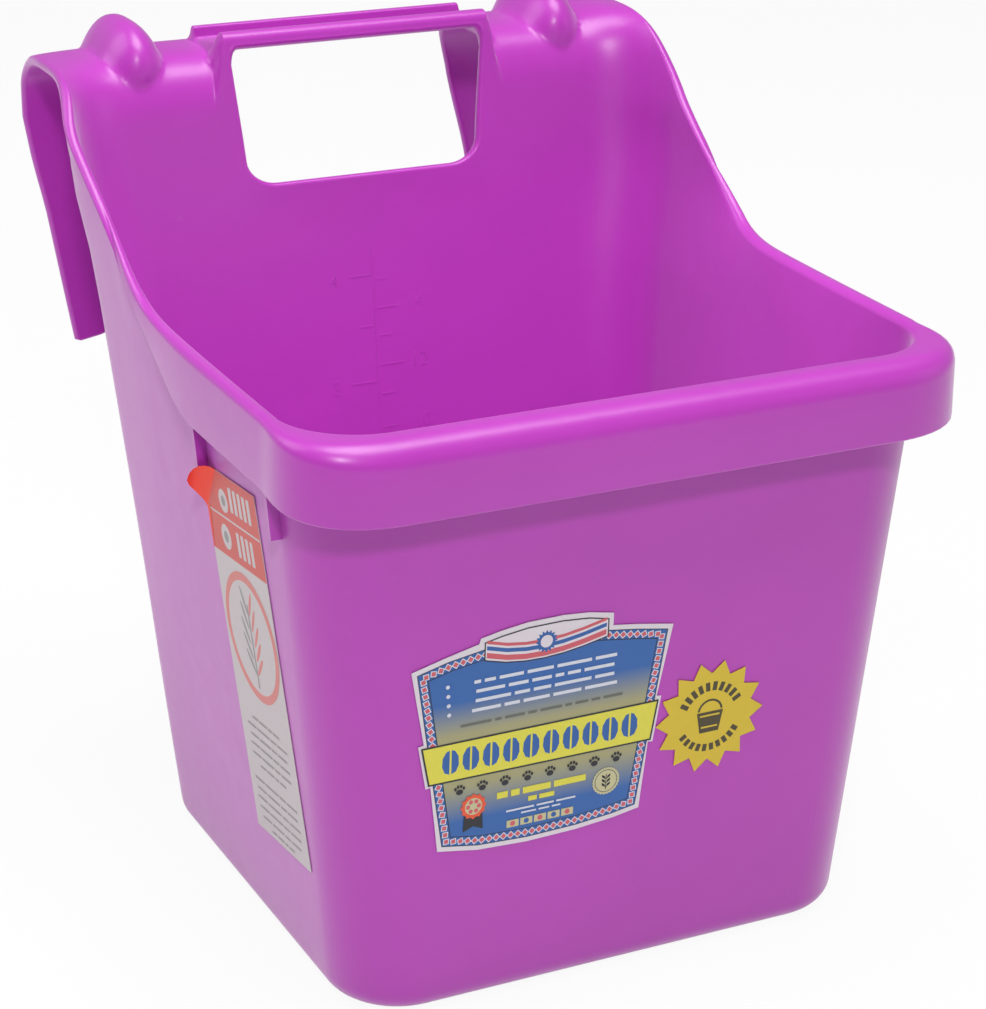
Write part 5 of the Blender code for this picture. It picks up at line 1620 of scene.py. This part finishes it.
class FEEDER_OT_stickers(bpy.types.Operator):
    """Draw the three stickers and lay them on their walls"""
    bl_idname = "feeder.stickers"
    bl_label = "Stickers"

    def execute(self, context):
        form = Form(context.scene.feeder_sizes)
        draw_front_label(form, context.scene.feeder_colours)
        draw_burst_label(form)
        draw_side_label(form)
        return {"FINISHED"}


class FEEDER_OT_stage(bpy.types.Operator):
    """Set up the floor, the lights and the camera"""
    bl_idname = "feeder.stage"
    bl_label = "Stage"

    def execute(self, context):
        make_floor(context.scene)
        make_lights(context.scene)
        make_camera(context.scene)
        return {"FINISHED"}


def make_floor(scene):
    """A wide pale floor that shows nearly white round the object."""
    bm = bmesh.new()
    bmesh.ops.create_grid(bm, x_segments=8, y_segments=8, size=FLOOR_HALF_SIZE)
    mesh = bpy.data.meshes.new("floor")
    bm.to_mesh(mesh)
    bm.free()
    mesh.transform(Matrix.Translation((0, 0, -FLOOR_GAP)))
    floor = bpy.data.objects.new("floor", mesh)
    scene.collection.objects.link(floor)
    material, tree, shader = start_material("paper_roll_white")
    shader.inputs["Base Color"].default_value = scene.feeder_colours.floor
    shader.inputs["Roughness"].default_value = 0.9
    # An overexposed sheet: the eye and the plastic's gloss see it nearly white, with a trace of shadow
    rays = add_node(tree, "ShaderNodeLightPath").outputs
    seen = add_node(tree, "ShaderNodeMath", {"operation": "MAXIMUM"})
    tree.links.new(rays["Is Camera Ray"], seen.inputs[0])
    tree.links.new(rays["Is Glossy Ray"], seen.inputs[1])
    share = add_node(tree, "ShaderNodeMath", {"operation": "MULTIPLY"})
    tree.links.new(seen.outputs[0], share.inputs[0])
    share.inputs[1].default_value = FLOOR_WHITE_SHARE
    white = add_node(tree, "ShaderNodeEmission").outputs["Emission"]
    mix = add_node(tree, "ShaderNodeMixShader", links={"Fac": share.outputs[0]})
    tree.links.new(shader.outputs["BSDF"], mix.inputs[1])
    tree.links.new(white, mix.inputs[2])
    tree.links.new(mix.outputs["Shader"], tree.nodes["Material Output"].inputs["Surface"])
    mesh.materials.append(material)


def make_lights(scene):
    """A white world and the soft lamps, of which neither the eye nor the gloss sees the hidden one."""
    world = bpy.data.worlds.new("studio")
    scene.world = world
    world.use_nodes = True
    tree = world.node_tree
    ground = tree.nodes["Background"]
    ground.inputs["Color"].default_value = (1, 1, 1, 1)
    ground.inputs["Strength"].default_value = scene.feeder_colours.world_strength
    for name, place, aim, size, power in LAMPS:
        lamp = bpy.data.lights.new(name, "AREA")
        lamp.shape = "RECTANGLE"
        lamp.size, lamp.size_y = size
        lamp.energy = power
        item = bpy.data.objects.new(name, lamp)
        scene.collection.objects.link(item)
        item.location = place
        item.visible_camera = name != HIDDEN_LAMP
        item.visible_glossy = name != HIDDEN_LAMP
        way = Vector(aim) - Vector(place)
        item.rotation_euler = way.to_track_quat("-Z", "Y").to_euler()


def make_camera(scene):
    """The photograph's camera: its place, its turns and its lens."""
    yaw, pitch, roll = (radians(v) for v in CAMERA_DEGREES)
    ahead = Vector((sin(yaw) * cos(pitch), cos(yaw) * cos(pitch), sin(pitch)))
    level = Vector((cos(yaw), -sin(yaw), 0))
    upright = level.cross(ahead)
    right = level * cos(roll) + upright * sin(roll)
    up = upright * cos(roll) - level * sin(roll)
    data = bpy.data.cameras.new("camera")
    data.sensor_width = SENSOR
    data.lens = SENSOR * FOCAL_PIXELS / FRAME_PIXELS[1]
    data.shift_x = (FRAME_PIXELS[0] / 2 - CENTRE_PIXELS[0]) / FRAME_PIXELS[1]
    data.shift_y = (CENTRE_PIXELS[1] - FRAME_PIXELS[1] / 2) / FRAME_PIXELS[1]
    data.clip_end = 100
    item = bpy.data.objects.new("camera", data)
    scene.collection.objects.link(item)
    turn = Matrix((right, up, -ahead)).transposed()
    item.matrix_world = Matrix.Translation(CAMERA_PLACE) @ turn.to_4x4()
    scene.camera = item


class FEEDER_PT_panel(bpy.types.Panel):
    """The feeder's sizes and the steps that build it"""
    bl_label = "Feeder"
    bl_idname = "FEEDER_PT_panel"
    bl_space_type = "VIEW_3D"
    bl_region_type = "UI"
    bl_category = "Feeder"

    def draw(self, context):
        scene = context.scene
        for group in (scene.feeder_sizes, scene.feeder_colours):
            for name in type(group).__annotations__:
                self.layout.prop(group, name)
        for step in STEPS:
            self.layout.operator("feeder." + step)


STEPS = ("moulding", "marks", "stickers", "stage")
CLASSES = (
    FeederSizes, FeederColours, FEEDER_OT_moulding, FEEDER_OT_marks, FEEDER_OT_stickers,
    FEEDER_OT_stage, FEEDER_PT_panel)


def register():
    for item in CLASSES:
        bpy.utils.register_class(item)
    bpy.types.Scene.feeder_sizes = PointerProperty(type=FeederSizes)
    bpy.types.Scene.feeder_colours = PointerProperty(type=FeederColours)


def unregister():
    del bpy.types.Scene.feeder_colours
    del bpy.types.Scene.feeder_sizes
    for item in reversed(CLASSES):
        bpy.utils.unregister_class(item)


def main():
    """Build the whole scene in order."""
    register()
    for step in STEPS:
        getattr(bpy.ops.feeder, step)()
    bpy.context.scene.view_settings.view_transform = "Standard"


if __name__ == "__main__":
    main()
